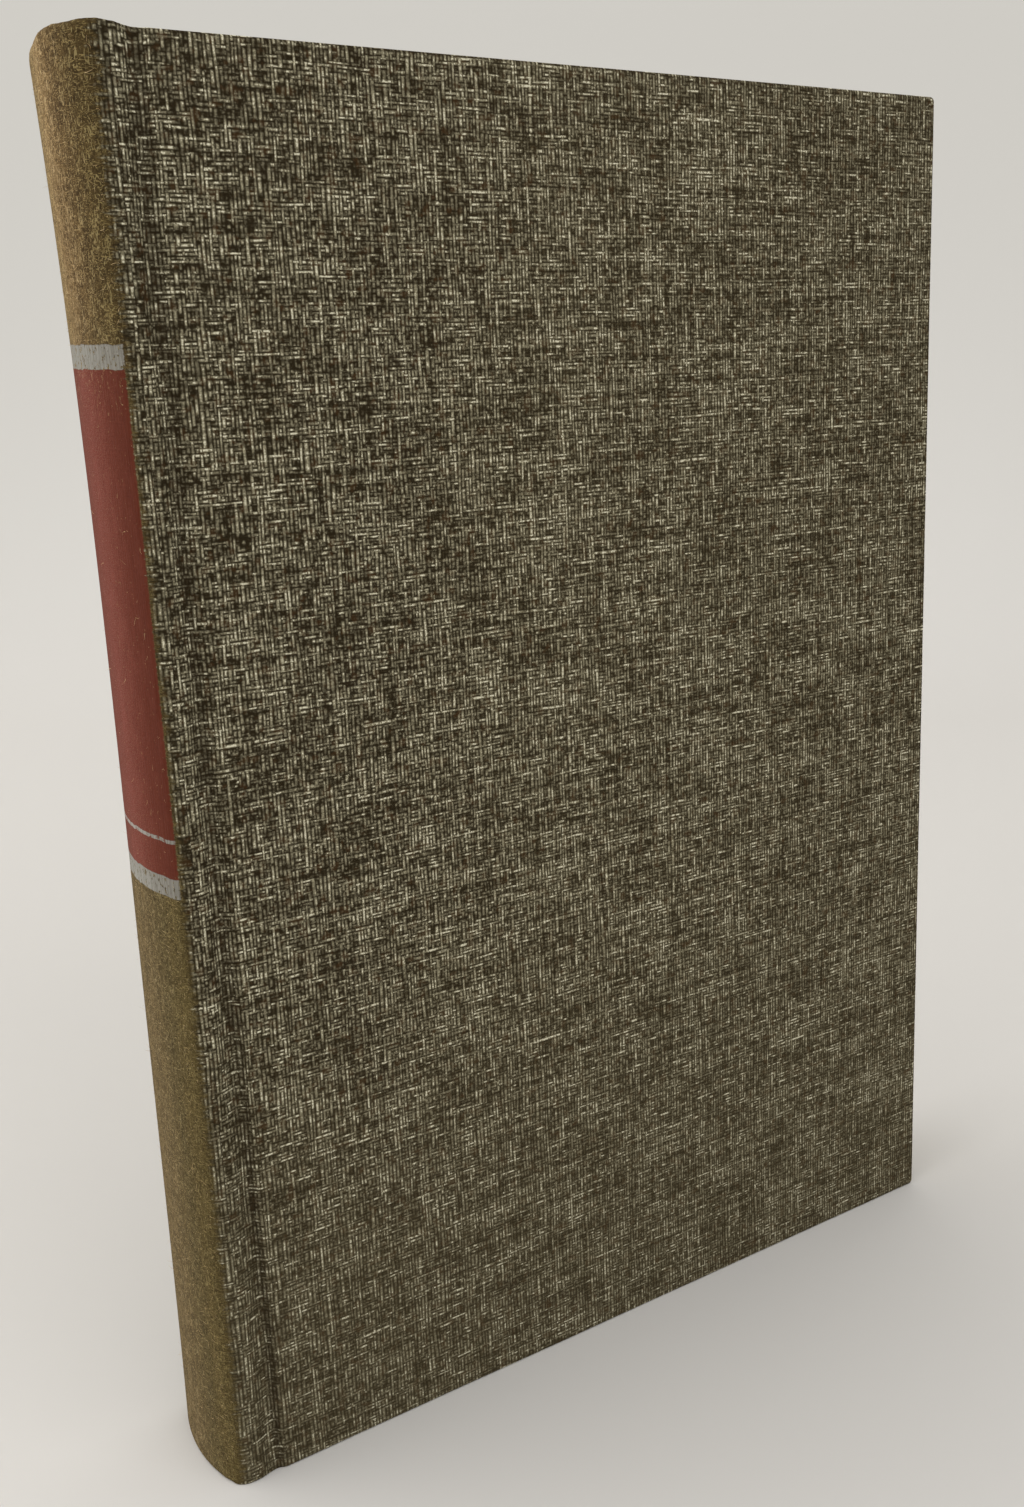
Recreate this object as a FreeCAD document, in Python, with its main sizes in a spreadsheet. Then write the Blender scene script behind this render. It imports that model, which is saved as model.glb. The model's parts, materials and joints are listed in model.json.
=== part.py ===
import FreeCAD, Part
from Sketcher import Constraint
import math
import os

# Hardback book in a one-piece cloth case, standing on its tail, front cover towards -Y.
# The shapes are drawn from the line where the spine turns into the covers (x = 0) and are
# then shifted, so that the origin is at the middle of the closed book's base.

doc = FreeCAD.newDocument("HardbackBook")

# Driving dimensions, in millimetres
SIZES = {
    # The case
    "CoverHeight": 267.0,
    "BoardWidth": 171.4,
    "BoardThick": 2.4,
    "ClothThick": 0.4,
    "TurnIn": 15.0,
    "JointWidth": 8.3,
    "GrooveDepth": 1.4,
    "GrooveSlope": 0.3,
    "EdgeRadius": 0.35,
    # The rounded spine
    "SpineBulge": 4.0,
    "SpineRadius": 40.0,
    "ShoulderRadius": 3.0,
    "ShoulderTop": 2.0,
    "InlayThick": 0.8,
    "InlayHalfWidth": 13.0,
    # The hinge lines of the covers
    "HingeOffset": 5.8,
    "HingeInset": 0.4,
    "HingeSlit": 0.15,
    # The leaves and what is glued to their back
    "BlockThick": 23.4,
    "SquareEnds": 3.0,
    "SquareFore": 3.2,
    "ForeHollow": 2.4,
    "LeafThick": 0.2,
    "LiningThick": 0.15,
    "LiningInset": 2.5,
    "LiningHalfWidth": 12.5,
    "MullThick": 0.25,
    "MullInset": 13.0,
    # The bands at the head and the tail of the spine
    "BandRadius": 0.9,
    "BandHalfWidth": 12.8,
    "TapeThick": 0.15,
    "TapeTall": 10.0,
    # The stamped field on the spine, between two bands, with one thin rule, by height
    "FieldLow": 126.4,
    "FieldTall": 88.3,
    "BandTall": 4.0,
    "RuleRise": 6.7,
    "RuleTall": 0.7,
    "FieldPress": 0.06,
    "FoilPress": 0.12,
    "StampHalfWidth": 13.4,
    # Clearances
    "CoverGap": 0.25,
    "HollowGap": 0.3,
    "GlueGap": 0.1,
    "FitGap": 0.1,
}

# Places that follow from the sizes, written as formulas in a second sheet
PLACES = {
    "BlockHalf": "Sizes.BlockThick / 2",
    "LeafFace": "BlockHalf + Sizes.LeafThick",
    "PasteFace": "LeafFace + Sizes.CoverGap",
    "TurnFace": "PasteFace + Sizes.LeafThick",
    "BoardIn": "TurnFace + Sizes.ClothThick",
    "BoardOut": "BoardIn + Sizes.BoardThick",
    "HalfThick": "BoardOut + Sizes.ClothThick",
    "ForeEdge": "Sizes.JointWidth + Sizes.BoardWidth + Sizes.ClothThick",
    "BlockFore": "ForeEdge - Sizes.SquareFore",
    "BlockTop": "Sizes.CoverHeight - Sizes.SquareEnds",
    "BlockTall": "BlockTop - Sizes.SquareEnds",
    "BoardTop": "Sizes.CoverHeight - Sizes.ClothThick",
    "FrameShift": "(Sizes.SpineBulge - ForeEdge) / 2",
    "GrooveFace": "HalfThick - Sizes.GrooveDepth",
    "RootLip": "Sizes.HingeOffset - Sizes.HingeSlit",
    "CoverLip": "Sizes.HingeOffset + Sizes.HingeSlit",
    "BoardArris": "Sizes.JointWidth - Sizes.GrooveSlope",
    # The spine's cloth runs on a large round that meets a small one at each shoulder
    "RoundCentre": "Sizes.SpineRadius - Sizes.SpineBulge",
    "ShoulderCentre": "HalfThick - Sizes.ShoulderRadius",
    "RadiusGap": "Sizes.SpineRadius - Sizes.ShoulderRadius",
    "RoundReach": "sqrt(RadiusGap ^ 2 - ShoulderCentre ^ 2)",
    "ShoulderX": "RoundCentre - RoundReach",
    "MeetX": "ShoulderX - Sizes.ShoulderRadius * RoundReach / RadiusGap",
    "MeetY": "ShoulderCentre * Sizes.SpineRadius / RadiusGap",
    "InnerShoulder": "Sizes.ShoulderRadius - Sizes.ClothThick",
    "InnerMeetX": "ShoulderX - InnerShoulder * RoundReach / RadiusGap",
    "InnerMeetY": "ShoulderCentre + InnerShoulder * ShoulderCentre / RadiusGap",
    # The layers of the spine, by their distance from the centre of its round
    "InlayOut": "Sizes.SpineRadius - Sizes.ClothThick",
    "InlayIn": "InlayOut - Sizes.InlayThick",
    "TurnRound": "InlayIn - Sizes.ClothThick",
    "LiningOut": "TurnRound - Sizes.HollowGap",
    "LiningIn": "LiningOut - Sizes.LiningThick",
    "MullRound": "LiningIn - Sizes.GlueGap",
    "BlockRound": "MullRound - Sizes.MullThick",
    "InlayAngle": "2 * asin(Sizes.InlayHalfWidth / InlayIn)",
    "SeatAngle": "2 * asin((Sizes.InlayHalfWidth + Sizes.ClothThick) / InlayIn)",
    "LiningAngle": "2 * asin(Sizes.LiningHalfWidth / LiningOut)",
    "BandAngle": "2 * asin(Sizes.BandHalfWidth / BlockRound)",
    "StampAngle": "2 * asin(Sizes.StampHalfWidth / Sizes.SpineRadius)",
    # The shoulders of the leaves stand out towards the covers
    "MullSide": "HalfThick - Sizes.ClothThick - Sizes.FitGap",
    "BlockSide": "MullSide - Sizes.MullThick",
    "ShoulderRise": "BlockSide - BlockHalf",
    "FlareStart": "Sizes.ShoulderTop + ShoulderRise",
    "TipX": "RoundCentre - sqrt(BlockRound ^ 2 - BlockSide ^ 2)",
    "MullTipX": "RoundCentre - sqrt(MullRound ^ 2 - MullSide ^ 2)",
    "MullLip": "GrooveFace - Sizes.ClothThick - Sizes.FitGap",
    "HollowRadius": "(BlockHalf ^ 2 + Sizes.ForeHollow ^ 2) / (2 * Sizes.ForeHollow)",
}


def fill_sheet(name, rows, mark):
    sheet = doc.addObject("Spreadsheet::Sheet", name)
    for number, (alias, content) in enumerate(rows.items(), start=1):
        sheet.set("A" + str(number), alias)
        sheet.set("B" + str(number), mark + str(content))
        sheet.setAlias("B" + str(number), alias)
    doc.recompute()
    return sheet


fill_sheet("Sizes", SIZES, "")
places = fill_sheet("Places", PLACES, "=")


# Short names for the formulas that the sketches are bound to
def size(alias):
    return "Sizes." + alias


def place(alias):
    return "Places." + alias


def value(expression):
    found = places.evalExpression(expression)
    return float(getattr(found, "Value", found))


def minus(expression):
    return "-(" + expression + ")"


def new_body(label):
    body = doc.addObject("PartDesign::Body", label)
    body.Label = label
    body.setExpression("Placement.Base.x", place("FrameShift"))
    return body


def new_sketch(body, name, plane, lift="0"):
    sketch = body.newObject("Sketcher::SketchObject", body.Name + "_" + name)
    origin = [f for f in body.Origin.OriginFeatures if f.Role == plane][0]
    sketch.AttachmentSupport = [(origin, "")]
    sketch.MapMode = "FlatFace"
    sketch.setExpression("AttachmentOffset.Base.z", lift)
    doc.recompute()
    return sketch


# An arc's middle point: turn is 1 where its centre lies left of the way from start to end
def arc_middle(start, end, radius, turn):
    chord = end - start
    sagitta = radius - math.sqrt(radius ** 2 - (chord.Length / 2) ** 2)
    left = FreeCAD.Vector(-chord.y, chord.x, 0).normalize()
    return (start + end) / 2 - left * (turn * sagitta)


# Each corner is (x, y), or (x, y, radius, turn) where an arc leaves it, all as formulas.
# Arcs are kept anticlockwise, so a clockwise one is drawn from its end to its start.
def draw_outline(sketch, corners):
    points = [FreeCAD.Vector(value(c[0]), value(c[1]), 0) for c in corners]
    first = sketch.GeometryCount
    for number, corner in enumerate(corners):
        start = points[number]
        end = points[(number + 1) % len(points)]
        if len(corner) == 2:
            sketch.addGeometry(Part.LineSegment(start, end))
            continue
        middle = arc_middle(start, end, value(corner[2]), corner[3])
        ends = (start, end) if corner[3] > 0 else (end, start)
        sketch.addGeometry(Part.ArcOfCircle(ends[0], middle, ends[1]))
    rules = []
    formulas = []
    for number, corner in enumerate(corners):
        edge = first + number
        start, end = end_numbers(corner)
        following = (number + 1) % len(corners)
        next_start = end_numbers(corners[following])[0]
        point = points[number]
        rules.append(Constraint("Coincident", edge, end, first + following, next_start))
        formulas.append(None)
        rules.append(Constraint("DistanceX", -1, 1, edge, start, point.x))
        formulas.append(corner[0])
        rules.append(Constraint("DistanceY", -1, 1, edge, start, point.y))
        formulas.append(corner[1])
        if len(corner) > 2:
            rules.append(Constraint("Radius", edge, value(corner[2])))
            formulas.append(corner[2])
    numbers = sketch.addConstraint(rules)
    for number, formula in zip(numbers, formulas):
        if formula is not None:
            sketch.renameConstraint(number, "Size" + str(number))
            sketch.setExpression("Constraints.Size" + str(number), formula)


# The sketch's numbers for the start and the end of the edge that leaves a corner
def end_numbers(corner):
    clockwise = len(corner) > 2 and corner[3] < 0
    return (2, 1) if clockwise else (1, 2)


def rectangle(low_x, low_y, high_x, high_y):
    return [(low_x, low_y), (high_x, low_y), (high_x, high_y), (low_x, high_y)]


def pad(body, name, sketch, length):
    feature = body.newObject("PartDesign::Pad", body.Name + "_" + name)
    feature.Profile = sketch
    feature.setExpression("Length", length)
    doc.recompute()
    return feature


# A pocket is cut along +normal of its sketch, and has to take material away
def pocket(body, name, sketch, length):
    before = body.Tip.Shape.Volume
    feature = body.newObject("PartDesign::Pocket", body.Name + "_" + name)
    feature.Profile = sketch
    feature.Reversed = True
    feature.setExpression("Length", length)
    doc.recompute()
    if feature.Shape.Volume >= before:
        raise RuntimeError(feature.Name + " cuts nothing")
    return feature


# A layer of the spine is turned about the centre of its round, half to each side
def revolve(body, name, sketch, angle):
    feature = body.newObject("PartDesign::Revolution", body.Name + "_" + name)
    feature.Profile = sketch
    feature.ReferenceAxis = (sketch, ["V_Axis"])
    feature.Midplane = True
    feature.setExpression("Angle", angle)
    doc.recompute()
    return feature


# A cut turned about the centre of the spine's round, which has to take material away
def turn_groove(body, name, sketch, angle):
    before = body.Tip.Shape.Volume
    feature = body.newObject("PartDesign::Groove", body.Name + "_" + name)
    feature.Profile = sketch
    feature.ReferenceAxis = (sketch, ["V_Axis"])
    feature.Midplane = True
    feature.setExpression("Angle", angle)
    doc.recompute()
    if feature.Shape.Volume >= before:
        raise RuntimeError(feature.Name + " cuts nothing")
    return feature


def round_edges(body, edges, radius):
    base = body.Tip
    feature = body.newObject("PartDesign::Fillet", body.Name + "_rounding")
    feature.Base = (base, edges)
    feature.setExpression("Radius", radius)
    doc.recompute()
    return feature


def round_sketch(body, name):
    sketch = new_sketch(body, name, "XZ_Plane")
    sketch.setExpression("AttachmentOffset.Base.x", place("RoundCentre"))
    return sketch


# The slab between two distances from the middle plane, on the front (-1) or the back (1)
def slab_lift(side, near, far):
    return near if side < 0 else minus(far)


def signed(side, expression):
    return expression if side > 0 else minus(expression)


# The sewn leaves, rounded and backed: one solid with a hollow fore-edge
def make_text_block():
    body = new_body("text_block")
    sketch = new_sketch(body, "plan", "XY_Plane", size("SquareEnds"))
    half = place("BlockHalf")
    side = place("BlockSide")
    top = size("ShoulderTop")
    rise = place("ShoulderRise")
    corners = [
        (place("BlockFore"), minus(half), place("HollowRadius"), -1),
        (place("BlockFore"), half),
        (place("FlareStart"), half, rise, -1),
        (top, side),
        (place("TipX"), side, place("BlockRound"), 1),
        (place("TipX"), minus(side)),
        (top, minus(side), rise, -1),
        (place("FlareStart"), minus(half)),
    ]
    draw_outline(sketch, corners)
    pad(body, "leaves", sketch, place("BlockTall"))
    return body


# The free half of each endpaper lies on the first and the last leaf
def make_flyleaf(label, side):
    body = new_body(label)
    lift = slab_lift(side, place("BlockHalf"), place("LeafFace"))
    sketch = new_sketch(body, "outline", "XZ_Plane", lift)
    outline = rectangle(
        place("FlareStart"), size("SquareEnds"), place("BlockFore"), place("BlockTop")
    )
    draw_outline(sketch, outline)
    pad(body, "sheet", sketch, size("LeafThick"))
    return body


# Open-weave cloth glued over the spine, its flanges reaching into the joints
def make_mull():
    body = new_body("mull")
    sketch = new_sketch(
        body, "plan", "XY_Plane", size("SquareEnds") + " + " + size("MullInset")
    )
    lip = place("RootLip")
    top = size("ShoulderTop")
    outer = place("MullSide")
    inner = place("BlockSide")
    lip_outer = place("MullLip")
    lip_inner = lip_outer + " - " + size("MullThick")
    corners = [
        (lip, minus(lip_outer)),
        (top, minus(outer)),
        (place("MullTipX"), minus(outer), place("MullRound"), -1),
        (place("MullTipX"), outer),
        (top, outer),
        (lip, lip_outer),
        (lip, lip_inner),
        (top, inner),
        (place("TipX"), inner, place("BlockRound"), 1),
        (place("TipX"), minus(inner)),
        (top, minus(inner)),
        (lip, minus(lip_inner)),
    ]
    draw_outline(sketch, corners)
    pad(body, "cloth", sketch, place("BlockTall") + " - 2 * " + size("MullInset"))
    return body


# Strong paper over the mull
def make_spine_lining():
    body = new_body("spine_lining")
    sketch = round_sketch(body, "section")
    low = size("SquareEnds") + " + " + size("LiningInset")
    high = place("BlockTop") + " - " + size("LiningInset")
    section = rectangle(minus(place("LiningOut")), low, minus(place("LiningIn")), high)
    draw_outline(sketch, section)
    revolve(body, "paper", sketch, place("LiningAngle"))
    return body


# The strip of card that stiffens the case's spine, over a hollow back
def make_spine_inlay():
    body = new_body("spine_inlay")
    sketch = round_sketch(body, "section")
    section = rectangle(
        minus(place("InlayOut")), size("ClothThick"), minus(place("InlayIn")), place("BoardTop")
    )
    draw_outline(sketch, section)
    revolve(body, "card", sketch, place("InlayAngle"))
    return body


# A band is a beaded tape: the bead lies on the edge of the leaves, the tape on their back
def make_band(label, at_head):
    body = new_body(label)
    edge = place("BlockTop") if at_head else size("SquareEnds")
    up = " + " if at_head else " - "
    down = " - " if at_head else " + "
    bead = size("BandRadius")
    tape_in = place("BlockRound") + " + " + size("GlueGap")
    back = minus(tape_in + " + " + size("TapeThick"))
    front = minus(tape_in)
    bead_front = back + " + 2 * " + bead
    turn = -1 if at_head else 1
    corners = [
        (back, edge + down + size("TapeTall")),
        (back, edge + up + bead, bead, turn),
        (back + " + " + bead, edge + up + "2 * " + bead, bead, turn),
        (bead_front, edge + up + bead, bead, turn),
        (back + " + " + bead, edge),
        (front, edge),
        (front, edge + down + size("TapeTall")),
    ]
    sketch = round_sketch(body, "section")
    draw_outline(sketch, corners)
    revolve(body, "beaded_tape", sketch, place("BandAngle"))
    return body


# The case's cloth over the spine, from hinge line to hinge line, turned in at both ends
def make_spine_cloth():
    body = new_body("spine_cloth")
    thick = size("ClothThick")
    sketch = new_sketch(body, "plan", "XY_Plane")
    lip = place("RootLip")
    top = size("ShoulderTop")
    half = place("HalfThick")
    inner_half = half + " - " + thick
    groove = place("GrooveFace")
    inner_groove = groove + " - " + thick
    shoulder = place("ShoulderX")
    inner_radius = place("InnerShoulder")
    corners = [
        (lip, minus(groove)),
        (top, minus(half)),
        (shoulder, minus(half), size("ShoulderRadius"), -1),
        (place("MeetX"), minus(place("MeetY")), size("SpineRadius"), -1),
        (place("MeetX"), place("MeetY"), size("ShoulderRadius"), -1),
        (shoulder, half),
        (top, half),
        (lip, groove),
        (lip, inner_groove),
        (top, inner_half),
        (shoulder, inner_half, inner_radius, 1),
        (place("InnerMeetX"), place("InnerMeetY"), place("InlayOut"), 1),
        (place("InnerMeetX"), minus(place("InnerMeetY")), inner_radius, 1),
        (shoulder, minus(inner_half)),
        (top, minus(inner_half)),
        (lip, minus(inner_groove)),
    ]
    draw_outline(sketch, corners)
    pad(body, "cloth", sketch, size("CoverHeight"))

    turned = round_sketch(body, "turn_ins")
    outer = minus(place("InlayOut") + " + " + thick + " / 2")
    inner = minus(place("TurnRound"))
    cover_top = size("CoverHeight")
    draw_outline(turned, rectangle(outer, "0", inner, size("TurnIn")))
    draw_outline(
        turned, rectangle(outer, cover_top + " - " + size("TurnIn"), inner, cover_top)
    )
    revolve(body, "turned_cloth", turned, place("SeatAngle"))

    seat = round_sketch(body, "inlay_seat")
    section = rectangle(
        minus(place("InlayOut")), thick, minus(place("InlayIn")), place("BoardTop")
    )
    draw_outline(seat, section)
    turn_groove(body, "seat", seat, place("InlayAngle"))

    wall = "0.9 * " + thick
    round_edges(body, spine_end_edges(body.Tip), "min(" + size("EdgeRadius") + "; " + wall + ")")
    stamp_field(body)
    return body


# The blocking press leaves its field, bands and rule slightly sunk in the spine's cloth
def stamp_field(body):
    low = size("FieldLow")
    high = low + " + " + size("FieldTall")
    rule = low + " + " + size("RuleRise")
    field = round_sketch(body, "field")
    stamp = stamp_section(size("FieldPress"), low, high)
    draw_outline(field, stamp)
    turn_groove(body, "field_press", field, place("StampAngle"))
    foil = round_sketch(body, "foil")
    for start, end in (
        (low + " - " + size("BandTall"), low),
        (high, high + " + " + size("BandTall")),
        (rule, rule + " + " + size("RuleTall")),
    ):
        draw_outline(foil, stamp_section(size("FoilPress"), start, end))
    turn_groove(body, "foil_press", foil, place("StampAngle"))


def stamp_section(depth, low, high):
    outside = minus(size("SpineRadius") + " + " + size("ClothThick"))
    return rectangle(outside, low, minus(size("SpineRadius") + " - " + depth), high)


# The outer edges of the spine's cloth at its head and its tail
def spine_end_edges(feature):
    tall = value(size("CoverHeight"))
    half = value(place("HalfThick"))
    rounds = [value(size("SpineRadius")), value(size("ShoulderRadius"))]
    found = []
    for number, edge in enumerate(feature.Shape.Edges, start=1):
        box = edge.BoundBox
        if min(abs(box.ZMax), abs(box.ZMin - tall)) > 1e-3:
            continue
        curved = edge.Curve.TypeId == "Part::GeomCircle"
        if curved and min(abs(edge.Curve.Radius - r) for r in rounds) < 1e-3:
            found.append("Edge" + str(number))
        reach = max(abs(v.Point.y) for v in edge.Vertexes)
        if not curved and abs(reach - half) < 1e-3:
            found.append("Edge" + str(number))
    return found


# A cover's board, square-edged under its cloth
def make_board(label, side):
    body = new_body(label)
    lift = slab_lift(side, place("BoardIn"), place("BoardOut"))
    sketch = new_sketch(body, "outline", "XZ_Plane", lift)
    fore = place("ForeEdge") + " - " + size("ClothThick")
    outline = rectangle(size("JointWidth"), size("ClothThick"), fore, place("BoardTop"))
    draw_outline(sketch, outline)
    pad(body, "board", sketch, size("BoardThick"))
    return body


# Edges on at least two of the cover's outer planes, which the cloth rounds
def outer_edges(feature, side):
    fore = value(place("ForeEdge"))
    tall = value(size("CoverHeight"))
    faces = [side * value(place("HalfThick")), side * value(place("TurnFace"))]
    found = []
    for number, edge in enumerate(feature.Shape.Edges, start=1):
        at = edge.CenterOfMass
        on_fore = abs(at.x - fore) < 1e-3
        on_end = min(abs(at.z), abs(at.z - tall)) < 1e-3
        on_face = min(abs(at.y - face) for face in faces) < 1e-3
        if on_fore + on_end + on_face >= 2 and edge.Length > value(size("ClothThick")):
            found.append("Edge" + str(number))
    return found


# The case's cloth over one cover: from the hinge line over the board, turned in on three sides
def make_cover_cloth(label, side):
    body = new_body(label)
    thick = size("ClothThick")
    fore = place("ForeEdge")
    outer = place("HalfThick")
    turn_face = place("TurnFace")
    board_in = place("BoardIn")
    board_out = place("BoardOut")
    turn_edge = fore + " - " + size("TurnIn")
    lip = place("CoverLip")
    groove = place("GrooveFace")
    sketch = new_sketch(body, "plan", "XY_Plane")
    corners = [
        (lip, signed(side, groove)),
        (place("BoardArris"), signed(side, outer)),
        (fore, signed(side, outer)),
        (fore, signed(side, turn_face)),
        (turn_edge, signed(side, turn_face)),
        (turn_edge, signed(side, board_in)),
        (fore + " - " + thick, signed(side, board_in)),
        (fore + " - " + thick, signed(side, board_out)),
        (size("JointWidth"), signed(side, board_out)),
        (lip, signed(side, groove + " - " + thick)),
    ]
    draw_outline(sketch, corners)
    pad(body, "cloth", sketch, size("CoverHeight"))

    ends = new_sketch(body, "ends", "YZ_Plane", size("JointWidth"))
    for start, sign in (("0", 1), (size("CoverHeight"), -1)):
        step = " + " if sign > 0 else " - "
        turned = [
            (signed(side, board_out + " + " + thick + " / 2"), start),
            (signed(side, turn_face), start),
            (signed(side, turn_face), start + step + size("TurnIn")),
            (signed(side, board_in), start + step + size("TurnIn")),
            (signed(side, board_in), start + step + thick),
            (signed(side, board_out + " + " + thick + " / 2"), start + step + thick),
        ]
        draw_outline(ends, turned)
    pad(body, "turned_ends", ends, fore + " - " + size("JointWidth"))

    wall = "0.9 * " + thick
    edges = outer_edges(body.Tip, side)
    round_edges(body, edges, "min(" + size("EdgeRadius") + "; " + wall + ")")
    return body


# The glued half of each endpaper dips from the turned-in cloth to the bare board
def make_pastedown(label, side):
    body = new_body(label)
    paper = size("LeafThick")
    step = size("ClothThick")
    low = size("SquareEnds")
    high = place("BlockTop")
    near = size("JointWidth")
    far = place("BlockFore")
    turn_low = size("TurnIn")
    turn_high = size("CoverHeight") + " - " + size("TurnIn")
    turn_far = place("ForeEdge") + " - " + size("TurnIn")

    lift = slab_lift(side, place("PasteFace"), place("BoardIn"))
    sketch = new_sketch(body, "outline", "XZ_Plane", lift)
    draw_outline(sketch, rectangle(near, low, far, high))
    pad(body, "sheet", sketch, paper + " + " + step)

    lift = slab_lift(side, place("TurnFace"), place("BoardIn"))
    under = new_sketch(body, "over_turn_ins", "XZ_Plane", lift)
    corners = [
        (near, low),
        (far, low),
        (far, high),
        (near, high),
        (near, turn_high),
        (turn_far, turn_high),
        (turn_far, turn_low),
        (near, turn_low),
    ]
    draw_outline(under, corners)
    pocket(body, "step", under, step)

    lift = slab_lift(side, place("PasteFace"), place("TurnFace") + " - " + paper + " + " + step)
    dip = new_sketch(body, "dip", "XZ_Plane", lift)
    middle = rectangle(
        near,
        turn_low + " + " + paper,
        turn_far + " - " + paper,
        turn_high + " - " + paper,
    )
    draw_outline(dip, middle)
    pocket(body, "hollow", dip, step)
    return body


FRONT = -1
BACK = 1

parts = [
    make_text_block(),
    make_flyleaf("front_flyleaf", FRONT),
    make_flyleaf("back_flyleaf", BACK),
    make_mull(),
    make_spine_lining(),
    make_band("headband", True),
    make_band("tailband", False),
    make_spine_inlay(),
    make_spine_cloth(),
    make_board("front_board", FRONT),
    make_board("back_board", BACK),
    make_cover_cloth("front_cover_cloth", FRONT),
    make_cover_cloth("back_cover_cloth", BACK),
    make_pastedown("front_pastedown", FRONT),
    make_pastedown("back_pastedown", BACK),
]

doc.recompute()
for item in doc.Objects:
    if "Invalid" in item.State or "Error" in item.State:
        raise RuntimeError(item.Name + " did not compute")
for body in parts:
    if body.Shape.isNull() or not body.Shape.isValid() or len(body.Shape.Solids) != 1:
        raise RuntimeError(body.Label + " is not one valid solid")

hinge_x = value(size("HingeOffset") + " + " + place("FrameShift"))
hinge_y = value(place("HalfThick") + " - " + size("HingeInset"))
print("hinge lines at x", round(hinge_x, 3), "and y", round(-hinge_y, 3), round(hinge_y, 3))

os.makedirs("parts", exist_ok=True)
for body in parts:
    body.Shape.exportStep("parts/" + body.Label + ".step")
    box = body.Shape.BoundBox
    print(body.Label, round(body.Shape.Volume, 1), [
        round(edge, 2) for edge in (box.XMin, box.XMax, box.YMin, box.YMax, box.ZMin, box.ZMax)
    ])
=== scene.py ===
"""Looks of a rounded and backed hardback book in a one-piece cloth case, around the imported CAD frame."""

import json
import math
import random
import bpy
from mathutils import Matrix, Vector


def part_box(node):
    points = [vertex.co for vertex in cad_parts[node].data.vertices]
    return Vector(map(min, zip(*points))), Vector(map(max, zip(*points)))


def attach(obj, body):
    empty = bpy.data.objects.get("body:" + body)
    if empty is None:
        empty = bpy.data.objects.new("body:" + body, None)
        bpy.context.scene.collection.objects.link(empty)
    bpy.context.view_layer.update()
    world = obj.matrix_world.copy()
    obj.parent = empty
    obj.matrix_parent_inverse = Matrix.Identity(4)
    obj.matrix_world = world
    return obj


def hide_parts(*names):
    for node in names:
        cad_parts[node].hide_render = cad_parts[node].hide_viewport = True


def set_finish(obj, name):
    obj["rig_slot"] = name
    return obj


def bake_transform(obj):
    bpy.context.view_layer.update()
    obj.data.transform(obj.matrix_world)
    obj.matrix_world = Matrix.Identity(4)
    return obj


bl_info = {
    "name": "Clothbound Hardback Book",
    "version": (1, 0, 0),
    "blender": (4, 5, 0),
    "location": "3D View > Sidebar > Book",
    "description": "Case cloth, leaves, endpapers, bands and stage of a hardback book",
    "category": "Add Mesh",
}

import bmesh
import bpy
import numpy as np
from bpy.props import FloatProperty, FloatVectorProperty, IntProperty, PointerProperty
from bpy.types import Operator, Panel, PropertyGroup
from mathutils import Matrix, Vector

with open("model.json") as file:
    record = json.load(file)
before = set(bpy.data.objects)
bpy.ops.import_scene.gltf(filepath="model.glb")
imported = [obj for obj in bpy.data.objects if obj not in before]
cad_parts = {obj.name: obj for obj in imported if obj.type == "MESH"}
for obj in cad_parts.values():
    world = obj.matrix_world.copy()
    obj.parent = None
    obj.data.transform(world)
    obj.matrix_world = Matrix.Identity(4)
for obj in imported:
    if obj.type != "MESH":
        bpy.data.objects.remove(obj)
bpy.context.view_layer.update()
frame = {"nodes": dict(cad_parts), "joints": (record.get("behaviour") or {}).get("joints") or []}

# Measures below are in millimetres in the row frame, and MM turns them into metres.
MM = 0.001
UV_NAME = "Cut"
SIDES = (("front", -1), ("back", 1))

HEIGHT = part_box("front_cover_cloth")[1].z / MM
APEX_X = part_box("spine_cloth")[0].x / MM
FORE_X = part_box("front_cover_cloth")[1].x / MM
FACE_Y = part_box("back_cover_cloth")[1].y / MM
HINGE_X = frame["joints"][0]["pos_m"][0] / MM
LOCAL_X = HINGE_X - 5.8

ROUND_RADIUS = 40.0
ROUND_X = APEX_X + ROUND_RADIUS
SHOULDER_RADIUS = 3.0
SHOULDER_Y = FACE_Y - SHOULDER_RADIUS
SHOULDER_X = ROUND_X - math.sqrt((ROUND_RADIUS - SHOULDER_RADIUS) ** 2 - SHOULDER_Y**2)
ROUND_TURN = math.asin(SHOULDER_Y / (ROUND_RADIUS - SHOULDER_RADIUS))
ROUND_ARC = ROUND_RADIUS * ROUND_TURN
SHOULDER_ARC = ROUND_ARC + SHOULDER_RADIUS * (math.pi / 2 - ROUND_TURN)
SEAM_X = LOCAL_X + 1.6
SEAM_S = SHOULDER_ARC + SEAM_X - SHOULDER_X

GROOVE_START = LOCAL_X + 2.1
GROOVE_END = LOCAL_X + 8.2
BOARD_START = LOCAL_X + 8.3
BEND_START = LOCAL_X + 2.5
BEND_END = LOCAL_X + 8.1

CASE_THICK = 1.6
FOLD_THICK = 0.75
BOARD_THICK = 3.2
OUTER_MARGIN = 3.0
EDGE_LEAD = 1.5
SPINE_EDGE = 0.78
THREAD_PITCH = 0.745
JOINT_S = 22.6

# Heights on the spine of the lower foil band, the painted field, the upper foil band and the thin rule.
BAND_LOW = 122.7
FIELD_LOW = 126.4
FIELD_HIGH = 214.7
BAND_HIGH = 218.7
RULE_LOW = 133.075
RULE_HIGH = 133.775
STAMP_HALF = 15.0
HAIRY_HALF = 15.2
HAIR_STEPS = 5

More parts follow.
